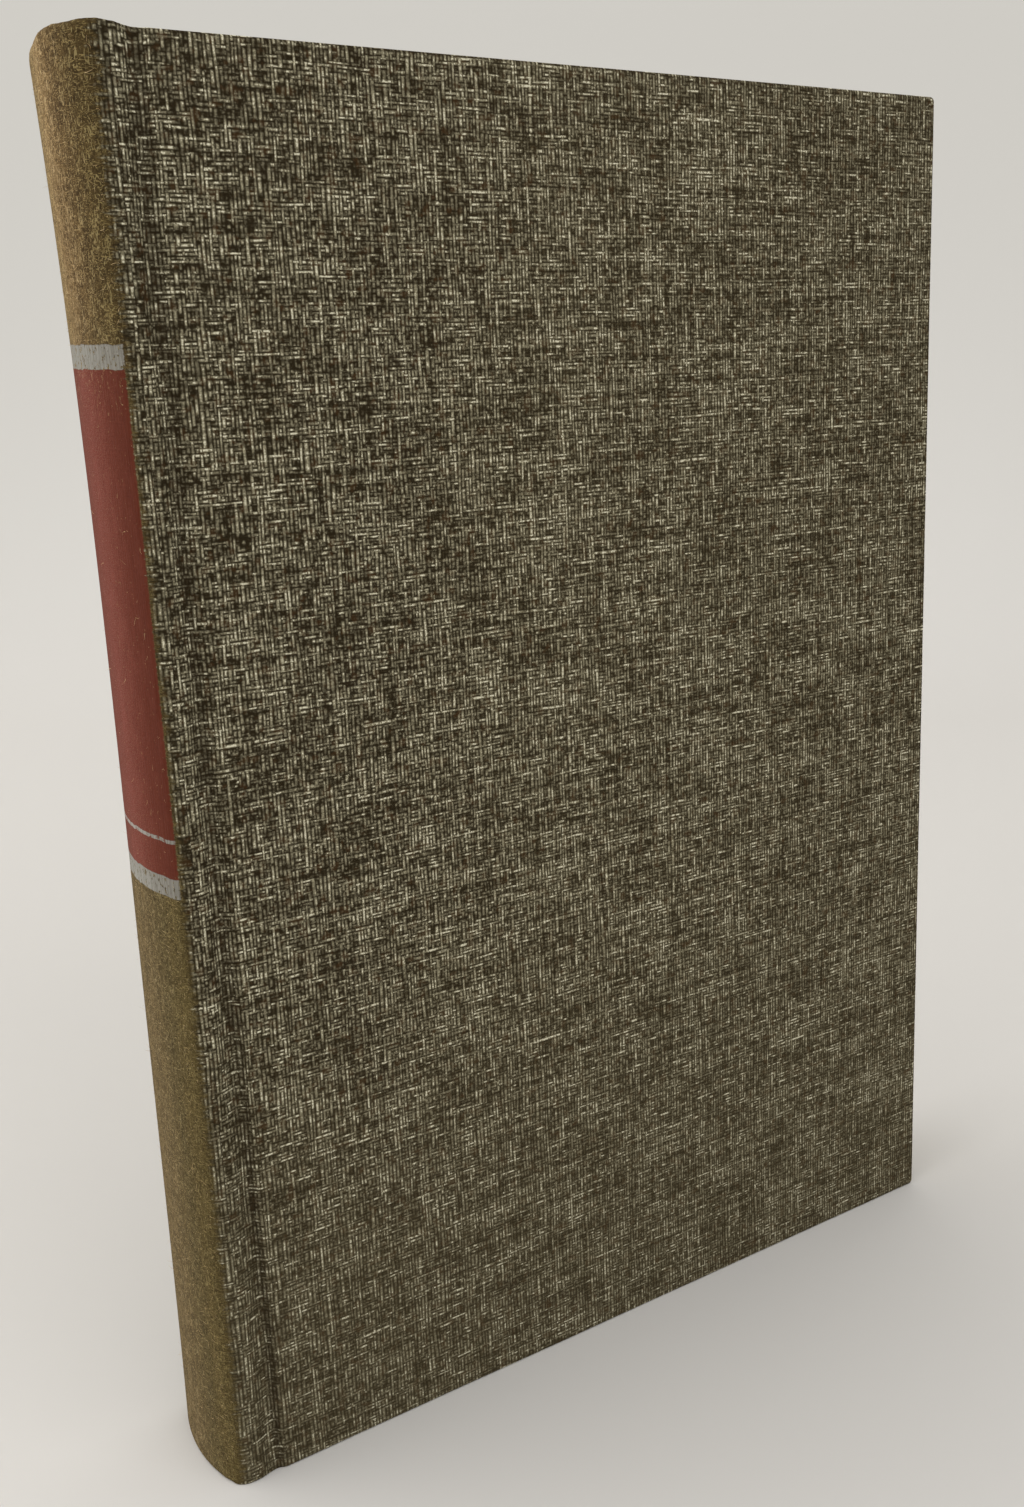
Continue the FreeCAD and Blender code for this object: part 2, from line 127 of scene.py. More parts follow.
# The leaves: how many, how thick, and the round that their backs follow, in the part's own X from LOCAL_X.
LEAF_COUNT = 117
LEAF_THICK = 0.2
LEAF_GAP = 0.004
SECTION_LEAVES = 8
BLOCK_HALF = 11.7
BLOCK_FORE = 176.9
FORE_HOLLOW = 2.4
BACK_CENTRE = 36.0
BACK_RADIUS = 37.55
SHOULDER_END = 5.1
SHOULDER_BEND = 3.1
STRAIGHT_START = 6.0

# The endpapers: thickness, the flyleaf's place over the leaves and the pastedown's way over the joint.
PAPER_THICK = 0.12
FLYLEAF_Y = 11.85
FLYLEAF_BEND = 2.95
FLYLEAF_TURN = math.radians(74)
PASTEDOWN_Y = 12.17
PASTEDOWN_DIP = 0.36
JOINT_X = (2.2, 2.5, 3.2, 4.0, 5.0, 5.8, 6.6, 7.4, 8.0, 8.6)
JOINT_Y = (14.0, 14.2, 14.05, 13.8, 13.45, 13.15, 12.8, 12.45, 12.25, 12.17)

# The bands: radius of the bead, distance from thread to thread, and depth, thickness and inset of the tape.
BEAD_RADIUS = 0.9
BEAD_PITCH = 0.45
TAPE_DEPTH = 9.6
TAPE_THICK = 0.1
TAPE_INSET = 0.12

CARD_HALF = 12.4
CARD_THICK = 0.8

# The camera: where it stands, its lens and its three directions.
VIEW_PLACE = (-163.52, -272.54, 220.31)
VIEW_LENS = 36.409
VIEW_SHIFT = (-0.0997, -0.0317)
VIEW_RIGHT = (0.81739, -0.57569, -0.0213)
VIEW_UP = (0.15741, 0.18763, 0.96954)
VIEW_BACK = (-0.55416, -0.79585, 0.24399)

# The floor: how far it reaches, where it curves up into the backdrop, and where it fades into one tone.
FLOOR_REACH = 6000
SWEEP_START = 520
SWEEP_RADIUS = 420
WALL_HEIGHT = 4000
FADE = (560.0, 1250.0)
LIGHTS = (
    ("key", (-1.15, 0.3, 1.05), 2.0, 15.5, (1.0, 0.975, 0.94)),
    ("front", (0.2, -1.5, 0.9), 1.6, 11.0, (0.99, 0.99, 1.0)),
    ("top", (0.1, 0.2, 1.6), 1.8, 9.0, (1.0, 0.99, 0.97)),
)

# How far the cloth of the spine stands out from its round, from tail to head.
BOW_HEIGHTS = (0, 21, 50, 82, 120, 150, 181, 197, 218, 238, 257, 267)
BOW_STANDS = (0.62, 0.46, 0.16, -0.02, -0.12, -0.3, -0.44, -0.3, -0.02, 0.5, 1.16, 1.5)
BOW_FIT = np.polyfit(BOW_HEIGHTS, BOW_STANDS, 5)

# How far the case rises over the boards' head edge, from the front cover round the spine to the back cover.
RISE_PLACES = (-24, -21, -19, -17, -15, -12, -9, -6, -3, 0, 3, 6, 10, 14, 18, 24)
RISE_HEIGHTS = (0, 0.25, 0.5, 0.75, 0.65, 0.6, 0.6, 0.75, 0.65, 0.2, -0.4, -0.6, -0.6, -0.5, -0.3, 0)


def srgb(red, green, blue):
    """A colour as it shows, 0 to 255, as the linear colour that Blender takes."""
    shown = [value / 255 for value in (red, green, blue)]
    return tuple(v / 12.92 if v <= 0.04045 else ((v + 0.055) / 1.055) ** 2.4 for v in shown)


PALE = srgb(208, 205, 198)


def smooth(value, low, high):
    """A soft step from 0 at low to 1 at high."""
    t = np.clip((np.asarray(value, float) - low) / (high - low), 0, 1)
    return t * t * (3 - 2 * t)


def waver(place, seed, length):
    """A slow irregular wave between about -1 and 1 along one direction."""
    place = np.asarray(place, float) * 2 * math.pi / length
    total = np.sin(place + seed) + 0.6 * np.sin(place * 2.37 + seed * 2.1)
    return (total + 0.4 * np.sin(place * 5.13 + seed * 3.7)) / 2


# Sizes and colours that a user would change


def length_setting(name, description, default_mm):
    """A length property, given in millimetres."""
    limits = {"min": 0, "precision": 5, "unit": "LENGTH", "subtype": "DISTANCE"}
    return FloatProperty(name=name, description=description, default=default_mm * MM, **limits)


def colour_setting(name, description, shown):
    """A colour property, given as it shows."""
    limits = {"size": 3, "min": 0, "max": 1, "subtype": "COLOR"}
    return FloatVectorProperty(name=name, description=description, default=srgb(*shown), **limits)


class BookSizes(PropertyGroup):
    """Sizes of the case, leaves and threads."""

    cloth: length_setting("Cloth", "Thickness of the case cloth", 0.35)
    turn_in: length_setting("Turn-in", "Width of cloth that is folded over the boards", 15)
    edge: length_setting("Board edge", "Radius of the cloth over a board's edge", 0.55)
    corner: length_setting("Corner", "Radius of a cover's fore corners", 1.1)
    groove: length_setting("Groove", "Depth of the groove between shoulder and board", 1.4)
    leaf_step: length_setting("Leaf step", "Unevenness of the leaves' trimmed edges", 0.05)
    hair: length_setting("Hair", "Longest loose hair on the spine cloth", 2.8)
    hairs: IntProperty(name="Hairs", description="Number of loose hairs", default=2800, min=0)


class BookColours(PropertyGroup):
    """Colours of the cloth, foil and paper."""

    ground: colour_setting("Ground", "Dark ground of the cover cloth", (38, 30, 14))
    thread: colour_setting("Thread", "Pale threads of the cover cloth", (160, 152, 124))
    glint: colour_setting("Glint", "Brightest threads of the cover cloth", (216, 210, 184))
    tan: colour_setting("Spine tan", "Light tone of the spine cloth", (150, 122, 80))
    umber: colour_setting("Spine umber", "Dark tone of the spine cloth", (86, 66, 40))
    brick: colour_setting("Field", "Painted field on the spine", (122, 56, 42))
    foil: colour_setting("Foil", "Silver foil bands on the spine", (164, 162, 154))
    paper: colour_setting("Paper", "Leaves of the book", (226, 214, 186))
    endpaper: colour_setting("Endpaper", "Folded sheets inside the covers", (229, 221, 198))
    board: colour_setting("Board", "Grey board and card", (122, 116, 106))


# Shader nodes written as expressions


class Wire:
    """One shader socket: arithmetic on it adds the Math nodes."""

    def __init__(self, finish, socket):
        self.finish = finish
        self.socket = socket

    def math(self, operation, *others):
        """Adds a Math node on this socket and others."""
        return self.finish.node("Math", {"operation": operation}, dict(enumerate((self, *others))))

    def __add__(self, other):
        return self.math("ADD", other)

    def __radd__(self, other):
        return self + other

    def __sub__(self, other):
        return self.math("SUBTRACT", other)

    def __rsub__(self, other):
        return self.finish.node("Math", {"operation": "SUBTRACT"}, {0: other, 1: self})

    def __mul__(self, other):
        return self.math("MULTIPLY", other)

    def __rmul__(self, other):
        return self * other

    def __truediv__(self, other):
        return self.math("DIVIDE", other)

    def __abs__(self):
        return self.math("ABSOLUTE")


class Finish:
    """A material or world under construction: node() adds any node, other methods are shorthands."""

    def __init__(self, name, kind="materials"):
        self.owner = getattr(bpy.data, kind).new(name)
        self.owner.use_nodes = True
        self.tree = self.owner.node_tree
        self.tree.nodes.clear()

    def node(self, kind, settings=None, sockets=None, out=0):
        """Adds a node: settings first, then values or links of its sockets. Gives one of its outputs."""
        made = self.tree.nodes.new("ShaderNode" + kind)
        for name, value in (settings or {}).items():
            setattr(made, name, value)
        for name, value in (sockets or {}).items():
            target = made.inputs[name]
            if isinstance(value, Wire):
                self.tree.links.new(value.socket, target)
            elif target.type == "RGBA" and len(value) == 3:
                target.default_value = (*value, 1)
            else:
                target.default_value = value
        return Wire(self, made.outputs[out])

    def parts(self, spot):
        """The three parts of a place given in metres, in millimetres."""
        scaled = self.node("VectorMath", {"operation": "SCALE"}, {0: spot, "Scale": 1 / MM})
        split = self.node("SeparateXYZ", None, {0: scaled})
        return tuple(Wire(self, output) for output in split.socket.node.outputs)

    def place(self):
        """The two flat-sheet coordinates of the surface, in millimetres."""
        return self.parts(self.node("UVMap", {"uv_map": UV_NAME}))[:2]

    def object_place(self):
        """The three coordinates of the surface at rest, in millimetres."""
        return self.parts(self.node("TexCoord", out="Object"))

    def noise(self, x, y, z=None, detail=1.0, rough=0.5, twist=0.0):
        """Soft noise over a plane, or through a solid where z is given."""
        spot = self.node("CombineXYZ", None, {0: x, 1: y, 2: 0.0 if z is None else z})
        sockets = {"Vector": spot, "Scale": 1.0, "Detail": detail, "Roughness": rough, "Distortion": twist}
        return self.node("TexNoise", {"noise_dimensions": "2D" if z is None else "3D"}, sockets)

    def step(self, value, low, high):
        """A soft step from 0 at low to 1 at high."""
        settings = {"interpolation_type": "SMOOTHSTEP"}
        return self.node("MapRange", settings, {0: value, 1: low, 2: high, 3: 0.0, 4: 1.0})

    def fall(self, value, low, high):
        """A soft step from 1 at low to 0 at high."""
        return 1 - self.step(value, low, high)

    def between(self, value, low, high, soft):
        """1 between low and high, with soft borders, and 0 outside."""
        return self.step(value, low - soft, low + soft) * self.fall(value, high - soft, high + soft)

    def blend(self, factor, first, second, mode="MIX"):
        """The first colour where the factor is 0 and the second where it is 1."""
        settings = {"data_type": "RGBA", "blend_type": mode}
        return self.node("Mix", settings, {0: factor, 6: first, 7: second}, out=2)

    def layers(self, base, *layers):
        """Lays colours, given as they show, over a base one after another, each by its own factor."""
        for factor, shown in layers:
            base = self.blend(factor, base, srgb(*shown))
        return base

    def larger(self, first, second):
        """The larger of two values."""
        return self.node("Math", {"operation": "MAXIMUM"}, {0: first, 1: second})

    def shader(self, colour, roughness, height, depth, **others):
        """The main shader: colour, roughness and relief to a depth in millimetres, other inputs by name."""
        bump = self.node("Bump", None, {"Strength": 1.0, "Distance": depth * MM, "Height": height})
        sockets = {"Base Color": colour, "Roughness": roughness, "Normal": bump}
        sockets.update({name.replace("_", " "): value for name, value in others.items()})
        return self.node("BsdfPrincipled", None, sockets)

    def finished(self, shader, kind="OutputMaterial"):
        """Ends the material or world with a shader."""
        output = self.tree.nodes.new("ShaderNode" + kind)
        self.tree.links.new(shader.socket, output.inputs[0])
        return self.owner

    def surface(self, *inputs, **others):
        """The finished material of one main shader."""
        return self.finished(self.shader(*inputs, **others))

    def looked_at(self):
        """1 where the camera or a reflection looks, and 0 where light only bounces."""
        rays = [self.node("LightPath", out=name) for name in ("Is Camera Ray", "Is Glossy Ray")]
        return self.larger(*rays)


# Finishes of the book's own materials


def thread_lines(finish, across, along, seed, dash, slub):
    """Fine threads along one direction: where each shows, and its short and its long changes."""
    wander = finish.noise(along * 0.05 + seed, across * 0.36) - 0.5
    place = across / THREAD_PITCH + wander * 1.3
    row = place.math("FLOOR")
    core = finish.fall(abs(place.math("FRACT") - 0.5), 0.05, 0.48)
    dashes = finish.noise(row * 7.31 + seed, along / dash, detail=1.0, rough=0.7)
    slubs = finish.noise(row * 3.17 + seed * 2.0, along / slub, detail=1.0)
    return core, dashes - 0.5, slubs - 0.5


def hatch(finish, colours, s, z):
    """Pale pigment on whichever thread lies on top over a dark ground, with painted light, shade and
    glints: the colour and the threads.
    """
    upright_core, upright_dash, upright_slub = thread_lines(finish, s, z, 3.7, 0.9, 3.8)
    level_core, level_dash, level_slub = thread_lines(finish, z, s, 31.3, 0.8, 4.2)
    upright_streak = finish.noise(s / 1.5, z / 20.0 + 7.0, detail=2.0, rough=0.6) - 0.5
    level_streak = finish.noise(z / 1.5, s / 21.0 + 13.0, detail=2.0, rough=0.6) - 0.5
    cloud = finish.noise(s / 12.0, z / 9.0, detail=2.0) - 0.5
    patch = upright_streak * 0.53 + level_streak * 0.68 + cloud * 0.24
    blot = finish.noise(s / 1.1 + 9.0, z / 0.9, detail=1.0) - 0.5
    grain = finish.noise(s / 0.3, z / 0.3, detail=1.0, rough=0.7)
    over = finish.step(upright_dash + upright_slub * 0.45 - level_slub * 0.55, -0.17, 0.05)
    bold_upright = finish.step(upright_dash * 0.9 + upright_slub * 1.3 + patch * 1.25 + blot, -0.41, 0.66)
    bold_level = finish.step(level_dash * 1.3 + level_slub * 1.3 + patch * 1.25 + blot, -0.37, 0.64)
    away = abs(s)
    # Painted shade on the pale threads next to the spine, where the cloth rolls over the shoulder; they are
    # a little brighter on the flat of the shoulder.
    near_spine = finish.fall(away, 15.5, 18.5)
    shoulder = finish.step(away, 17.0, 19.0) * finish.fall(away, 20.4, 21.4)
    # Painted shade in the joint's groove, wavering along its length and broken in places.
    joint_wave = (finish.noise(z / 2.6, s / 4.0, detail=3.0) - 0.5) * 2.4
    joint_place = away - JOINT_S - 1.3 * finish.fall(z, 30.0, 150.0) + joint_wave
    joint_left = finish.step(finish.noise(z / 1.9 + 40.0, s / 2.0, detail=2.0), 0.25, 0.55)
    joint = finish.fall(abs(joint_place), 0.4, 2.0) * joint_left
    # Painted light and shade on the pale threads: dimmer toward the tail, brighter over the upper part
    # nearer the spine, and shaded at the shoulder and in the groove.
    upper = finish.step(z, 0.0, 130.0)
    clear = 0.74 + 0.26 * upper
    lit = finish.fall(away, 80.0, 175.0) * finish.step(z, 20.0, 120.0)
    deep = finish.fall(away, 40.0, 100.0) * finish.step(z, 40.0, 150.0)
    clear = clear * (1 - near_spine * 0.25 - joint * 0.52 + shoulder * 0.12 + lit * 0.2)
    upright = upright_core * over * bold_upright
    level = level_core * (1 - over * 0.9) * bold_level
    pale = ((upright + level) * clear * (0.18 + grain * 1.44 + blot * 0.4)).math("MINIMUM", 1.0)
    # Painted glints on the brightest threads, dimmed with the painted shading.
    bright = finish.step(upright * 0.85 + level + grain * 0.8, 1.0, 1.45) * clear
    tint = finish.noise(s / 2.3 + 17.0, z / 2.3, detail=2.0)
    ground = finish.blend(finish.step(tint, 0.55, 0.72) * 0.6, colours.ground, srgb(64, 43, 20))
    cores = finish.larger(upright_core * over, level_core * (1 - over))
    worn = cores * 0.45 + patch * 0.5 + 0.06 - deep * 0.28 + (1 - upper) * 0.2
    ground = finish.blend(worn, ground, srgb(84, 75, 53))
    # The groove's painted shade darkens the ground as well.
    ground = finish.blend(joint * 0.6, ground, srgb(40, 30, 15))
    colour = finish.blend(pale, ground, colours.thread)
    return finish.blend(bright, colour, colours.glint), cores


def cover_cloth_finish(colours):
    """Book cloth of the covers."""
    finish = Finish("cover cloth")
    s, z = finish.place()
    colour, threads = hatch(finish, colours, s, z)
    return finish.surface(colour, 0.93, threads, 0.1, Specular_IOR_Level=0.12)


def spine_cloth_finish(colours):
    """Book cloth of the spine: hatched at its sides, toned and fuzzy between, painted and foiled, with
    painted shade toward the shoulders.
    """
    finish = Finish("spine cloth")
    s, z = finish.place()
    cover, threads = hatch(finish, colours, s, z)
    mottle = finish.noise(s / 2.6 + 31.0, z / 6.0, detail=3.0, rough=0.55)
    fuzz = finish.noise(s / 0.75 + 5.0, z / 0.9, detail=3.0, rough=0.75, twist=0.5)
    fibre = finish.noise(s / 1.5 + 41.0, z / 0.5, detail=1.0, twist=2.6)
    nap = finish.noise(s / 0.6 + 91.0, z / 1.8, detail=1.0, twist=1.8)
    warp = finish.noise(s / 0.35 + 15.0, z / 3.5, detail=1.0)
    away = abs(s)
    side = finish.step(away, 0.0, 15.0)
    head_wear = finish.step(z, 205.0, 232.0)
    bare = finish.fall(fuzz, 0.36, 0.56)

    # The toned cloth, with painted shade toward the shoulders
    faded = finish.step(s + mottle * 6.0, -2.0, 5.0) * finish.step(z, 190.0, 225.0)
    tone = finish.layers(
        finish.blend(finish.step(mottle, 0.2, 0.75) * 0.7 + 0.15, colours.umber, colours.tan),
        # Painted shade: browner toward the shoulders.
        (side * 0.4, (92, 70, 44)),
        (finish.fall(z, 115.0, 190.0) * 0.45, (100, 88, 56)),
        (faded * 0.45, (174, 146, 100)),
        (threads * 0.18, (140, 120, 84)),
        (bare * (head_wear * 0.2 + 0.5), (66, 48, 26)),
        (finish.fall(warp, 0.3, 0.5) * 0.35, (66, 48, 28)),
        (finish.step(fibre, 0.56, 0.68) * (head_wear * 0.35 + 0.5), (192, 164, 118)),
        (finish.step(nap, 0.6, 0.7) * (head_wear * 0.5 + 0.3), (210, 184, 138)),
        # Painted shade where the cloth rolls over the shoulders.
        (finish.step(away, 13.8, 15.6) * 0.35, (62, 47, 26)),
    )
    dull = head_wear * finish.fall(s + finish.step(z, 240.0, 258.0) * 4.0, -1.0, 4.0)
    tone = finish.blend(dull, tone, (0.76, 0.74, 0.72), "MULTIPLY")
    # Darker over the middle of the spine below the head, less so on the back cover's side.
    middle_darkening = (1 - head_wear) * finish.fall(away, 8.0, 13.0) * (1 - finish.step(s, 0.0, 5.0) * 0.6)
    tone = finish.blend(middle_darkening, tone, (0.81, 0.85, 0.88), "MULTIPLY")

    # The painted field and the foil bands
    worn = finish.noise(s / 0.9 + 53.0, z / 1.3, detail=3.0, rough=0.7)
    strand = finish.noise(s / 0.32 + 61.0, z / 6.0, detail=2.0)
    grit = finish.step(finish.noise(s / 0.22, z / 0.22, detail=1.0), 0.45, 0.62)
    brick = finish.layers(
        colours.brick,
        (finish.step(strand, 0.35, 0.7) * 0.5, (108, 42, 28)),
        (finish.step(mottle, 0.45, 0.7) * 0.35, (136, 68, 56)),
        (finish.step(worn + 0.1 * finish.step(z, 205.0, 213.0), 0.68, 0.74), (150, 104, 78)),
        (grit * 0.16 * (1 - side), (190, 170, 158)),
        (bare * 0.22, (96, 38, 26)),
    )
    foil = finish.layers(colours.foil, (finish.step(strand, 0.35, 0.65) * 0.7, (128, 125, 114)))
    ragged = (finish.noise(z / 0.7, s / 3.0, detail=2.0, rough=0.7) - 0.5) * (head_wear * 2.4 + 3.2)
    height = z + (finish.noise(s / 2.2 + 71.0, 0.5) - 0.5) * 0.5
    inside = finish.fall(away + ragged * 0.14, STAMP_HALF, STAMP_HALF + 0.35)
    field = finish.between(height, FIELD_LOW, FIELD_HIGH, 0.1) * inside
    lower_band = finish.between(height, BAND_LOW, FIELD_LOW, 0.1)
    upper_band = finish.between(height, FIELD_HIGH, BAND_HIGH, 0.1)
    rule = finish.between(height, RULE_LOW, RULE_HIGH, 0.075)
    silver = finish.larger(finish.larger(lower_band, upper_band), rule) * inside
    silver = silver * finish.fall(worn, 0.58, 0.66)
    spine = finish.blend(field, tone, brick)
    # Painted shade: cloth, field and foil darker toward the shoulders.
    spine = finish.blend(side * 0.8, spine, (0.48, 0.54, 0.4), "MULTIPLY")
    foil = finish.blend(side * 0.75, foil, (0.62, 0.6, 0.58), "MULTIPLY")
    spine = finish.blend(silver, spine, foil)

    onto_cover = finish.step(away + ragged, 15.0, 16.6)
    colour = finish.blend(onto_cover, spine, cover)
    relief = threads * (0.35 + 0.65 * onto_cover) + fuzz * (1 - onto_cover) * 0.8
    relief = relief - finish.larger(field, silver) * 0.5
    roughness = 0.93 - silver * 0.45 - field * 0.15
    return finish.surface(colour, roughness, relief, 0.1, Specular_IOR_Level=0.12, Metallic=silver * 0.3)


def plain_cloth_finish(name, light, dark):
    """Open plain weave, for the mull."""
    finish = Finish(name)
    x, y, z = finish.object_place()
    upright = abs(((y + x) / 0.7).math("FRACT") - 0.5)
    level = abs((z / 0.7).math("FRACT") - 0.5)
    weave = finish.step(upright + level, 0.2, 0.8)
    slub = finish.noise(y / 2.0, z / 2.0, x, detail=3.0)
    colour = finish.layers(srgb(*dark), (weave * 0.7, light), (finish.step(slub, 0.4, 0.7) * 0.3, dark))
    return finish.surface(colour, 0.9 + slub * 0.05, weave + slub * 0.4, 0.1)


def endpaper_finish(colours):
    """Laid paper with fine level lines and wide chain lines, browned at its edges, with a few spots."""
    finish = Finish("endpaper")
    s, z = finish.place()
    cloud = finish.noise(s / 22.0, z / 22.0, detail=4.0, rough=0.6)
    tooth = finish.noise(s / 0.35, z / 0.35, detail=2.0, rough=0.7)
    fibre = finish.step(finish.noise(s / 2.4 + 8.0, z / 0.7, detail=2.0, twist=1.5), 0.66, 0.76)
    laid = finish.step(abs((z / 1.15).math("FRACT") - 0.5), 0.1, 0.45)
    chain = finish.step(abs((s / 25.0 + cloud * 0.02).math("FRACT") - 0.5), 0.485, 0.5)
    ends = finish.step(abs(z - HEIGHT / 2) + cloud * 14.0, 116.0, 140.0)
    fore = finish.step(s + cloud * 14.0, 152.0, 182.0)
    joint = finish.fall(s + cloud * 6.0, 2.0, 15.0)
    rim = finish.larger(finish.larger(ends, fore), joint)
    spot = finish.step(finish.noise(s / 3.6 + 70.0, z / 3.6, detail=2.0), 0.74, 0.82)
    base = finish.layers(
        colours.endpaper,
        (finish.step(cloud, 0.35, 0.7) * 0.35, (206, 192, 158)),
        (rim * 0.5, (206, 180, 134)),
        (laid * 0.1 + chain * 0.16, (166, 146, 108)),
        (fibre * 0.3, (160, 140, 104)),
        (spot * 0.4, (168, 128, 78)),
    )
    return finish.surface(base, 0.86 + cloud * 0.08, tooth + laid * 0.4 + chain * 0.4, 0.04)


def leaf_edge_finish(colours):
    """Trimmed leaf edges: fine lines from leaf to leaf, painted shade between sections, and slightly toned.
    """
    finish = Finish("leaf edges")
    s, leaf = finish.place()
    fine = finish.noise(leaf / 0.09, s / 40.0, detail=2.0, rough=0.7)
    section = finish.noise(leaf / 0.6 + 12.0, s / 90.0, detail=2.0)
    # Painted shade in the gaps between sections, which are also sunk in the relief.
    gap = finish.step(abs((leaf / 3.2).math("FRACT") - 0.5), 0.44, 0.5)
    stain = finish.noise(leaf / 5.0 + 24.0, s / 30.0, detail=4.0)
    colour = finish.layers(
        colours.paper,
        (finish.step(fine, 0.35, 0.68) * 0.5, (176, 158, 124)),
        (finish.step(section, 0.4, 0.7) * 0.3, (198, 180, 144)),
        (gap * 0.4, (140, 120, 88)),
        (finish.step(stain, 0.5, 0.75) * 0.25, (190, 160, 112)),
    )
    return finish.surface(colour, 0.88 + stain * 0.05, fine + gap * -0.8, 0.05)


def board_finish(name, colour, dark):
    """Pressed board with grey and brown fibres."""
    finish = Finish(name)
    x, y, z = finish.object_place()
    pulp = finish.noise(x / 1.2, z / 1.2, y, detail=5.0, rough=0.7)
    fibre = finish.step(finish.noise(x / 0.5, z / 2.4, y + 5.0, detail=2.0, twist=1.5), 0.6, 0.7)
    base = finish.layers(colour, (finish.step(pulp, 0.35, 0.7), dark), (fibre * 0.5, (172, 166, 150)))
    return finish.surface(base, 0.9 + pulp * 0.05, pulp + fibre, 0.06)


def band_finish():
    """Cotton threads sewn over a core, cream with ochre between them."""
    finish = Finish("band threads")
    along, around = finish.place()
    turn = ((along + around * 0.25) / 0.9).math("FRACT")
    stripe = finish.step(abs(turn - 0.5), 0.2, 0.3)
    twist = finish.noise(along / 0.2, around / 0.6, detail=2.0)
    shade = finish.step(twist, 0.4, 0.7) * 0.3
    colour = finish.layers(srgb(214, 200, 164), (stripe, (138, 70, 52)), (shade, (120, 100, 70)))
    return finish.surface(colour, 0.8 + twist * 0.1, twist, 0.05)


def hair_finish():
    """Loose fibres of the worn spine cloth."""
    finish = Finish("loose hairs")
    x, y, z = finish.object_place()
    shade = finish.noise(y / 1.5, z / 1.5, x)
    colour = finish.blend(finish.step(shade, 0.3, 0.6), srgb(140, 112, 70), srgb(206, 180, 134))
    return finish.surface(colour, 0.85 + shade * 0.1, shade, 0.02)


# Shapes of the case


def spine_section(s):
    """Points and outward directions of the case's face round the spine, at distances s from its middle."""
    s = np.asarray(s, float)
    away = np.abs(s)
    turn = np.minimum(away, ROUND_ARC) / ROUND_RADIUS
    corner = np.clip(away - ROUND_ARC, 0, SHOULDER_ARC - ROUND_ARC) / SHOULDER_RADIUS
    flat = np.maximum(away - SHOULDER_ARC, 0)
    angle = turn + corner
    on_round = away <= ROUND_ARC
    radius = np.where(on_round, ROUND_RADIUS, SHOULDER_RADIUS)
    x = np.where(on_round, ROUND_X, SHOULDER_X) - radius * np.cos(angle) + flat
    y = np.where(on_round, 0, SHOULDER_Y) + radius * np.sin(angle)
    sign = np.where(s < 0, -1.0, 1.0)
    return np.stack([x, y * sign], -1), np.stack([-np.cos(angle), np.sin(angle) * sign], -1)


def bow(s, z):
    """How far the spine's cloth stands out at a place, fading to nothing over the shoulders."""
    pressed = 0.8 * smooth(z, HEIGHT - 3, HEIGHT + 2) * smooth(s, -4, 8)
    return (np.polyval(BOW_FIT, np.clip(z, 0, HEIGHT)) - pressed) * (1 - smooth(np.abs(s), 11.0, 17.4))


def head_rise(s):
    """How far the case stands over the boards' head edge."""
    uneven = 0.1 * waver(s, 2.0, 7.0) * (1 - smooth(np.abs(s), 18, 24))
    return np.interp(s, RISE_PLACES, RISE_HEIGHTS) + uneven


def board_face(x, z, groove):
    """The case's outer face beside the spine: how far it is from the book's middle plane."""
    middle = HINGE_X + 0.18 * waver(z, 5.0, 90.0) + 0.8 * (1 - smooth(z, 10, 150))
    depth = groove * (1 + 0.12 * waver(z, 1.0, 46.0)) * (0.45 + 0.55 * smooth(z, -1, 7))
    near = smooth(x, GROOVE_START, middle)
    far = 1 - smooth(x, middle, GROOVE_END)
    uneven = 0.05 * waver(z, 0.7, 120.0) * waver(x, 1.9, 95.0) + 0.03 * waver(x + z, 4.0, 60.0)
    settled = smooth(x, BOARD_START, BOARD_START + 20)
    return FACE_Y - depth * np.minimum(near, far) - 0.05 * settled + uneven * settled


def fold_thick(x):
    """Thickness of the folded head or tail edge beside the spine."""
    return FOLD_THICK + (BOARD_THICK - FOLD_THICK) * smooth(x, LOCAL_X + 6.4, BOARD_START + 0.2)


def edge_path(thick, radius, turn_in):
    """The way of the cloth over an edge: distances from the edge, depths, and lengths along the cloth."""
    thick = np.asarray(thick, float)
    radius = np.minimum(radius, thick * 0.49)
    zero = np.zeros_like(thick)
    quarter = np.linspace(0, math.pi / 2, 5)
    rounded = [(radius * (1 - math.sin(a)), radius * (1 - math.cos(a))) for a in quarter]
    way = [(zero + OUTER_MARGIN, zero), (zero + EDGE_LEAD, zero), *rounded]
    way += [(inset, thick - depth) for inset, depth in rounded[::-1]]
    way += [(zero + reach, thick) for reach in (1.5, 4.0, 8.0, 11.5, turn_in)]
    inset, depth = (np.array(values) for values in zip(*way))
    steps = np.hypot(np.diff(inset, axis=0), np.diff(depth, axis=0))
    return inset, depth, np.concatenate([[zero], np.cumsum(steps, axis=0)])


def board_heights():
    """Heights of the rows of the cloth, from tail to head."""
    return np.linspace(OUTER_MARGIN, HEIGHT - OUTER_MARGIN, 56)


def add_grid(mesh, layer, points, cuts, flip):
    """Adds a grid of quads, with a flat-sheet coordinate at each corner."""
    rows, columns = points.shape[:2]
    made = [[mesh.verts.new(Vector(points[i, j]) * MM) for j in range(columns)] for i in range(rows)]
    for i in range(rows - 1):
        for j in range(columns - 1):
            ring = [(i, j), (i, j + 1), (i + 1, j + 1), (i + 1, j)]
            if flip:
                ring.reverse()
            face = mesh.faces.new([made[a][b] for a, b in ring])
            face.smooth = True
            for loop, (a, b) in zip(face.loops, ring):
                loop[layer].uv = (cuts[a, b, 0] * MM, cuts[a, b, 1] * MM)


def new_object(name, data):
    """Puts a new object in the scene."""
    made = bpy.data.objects.new(name, data)
    bpy.context.scene.collection.objects.link(made)
    return made


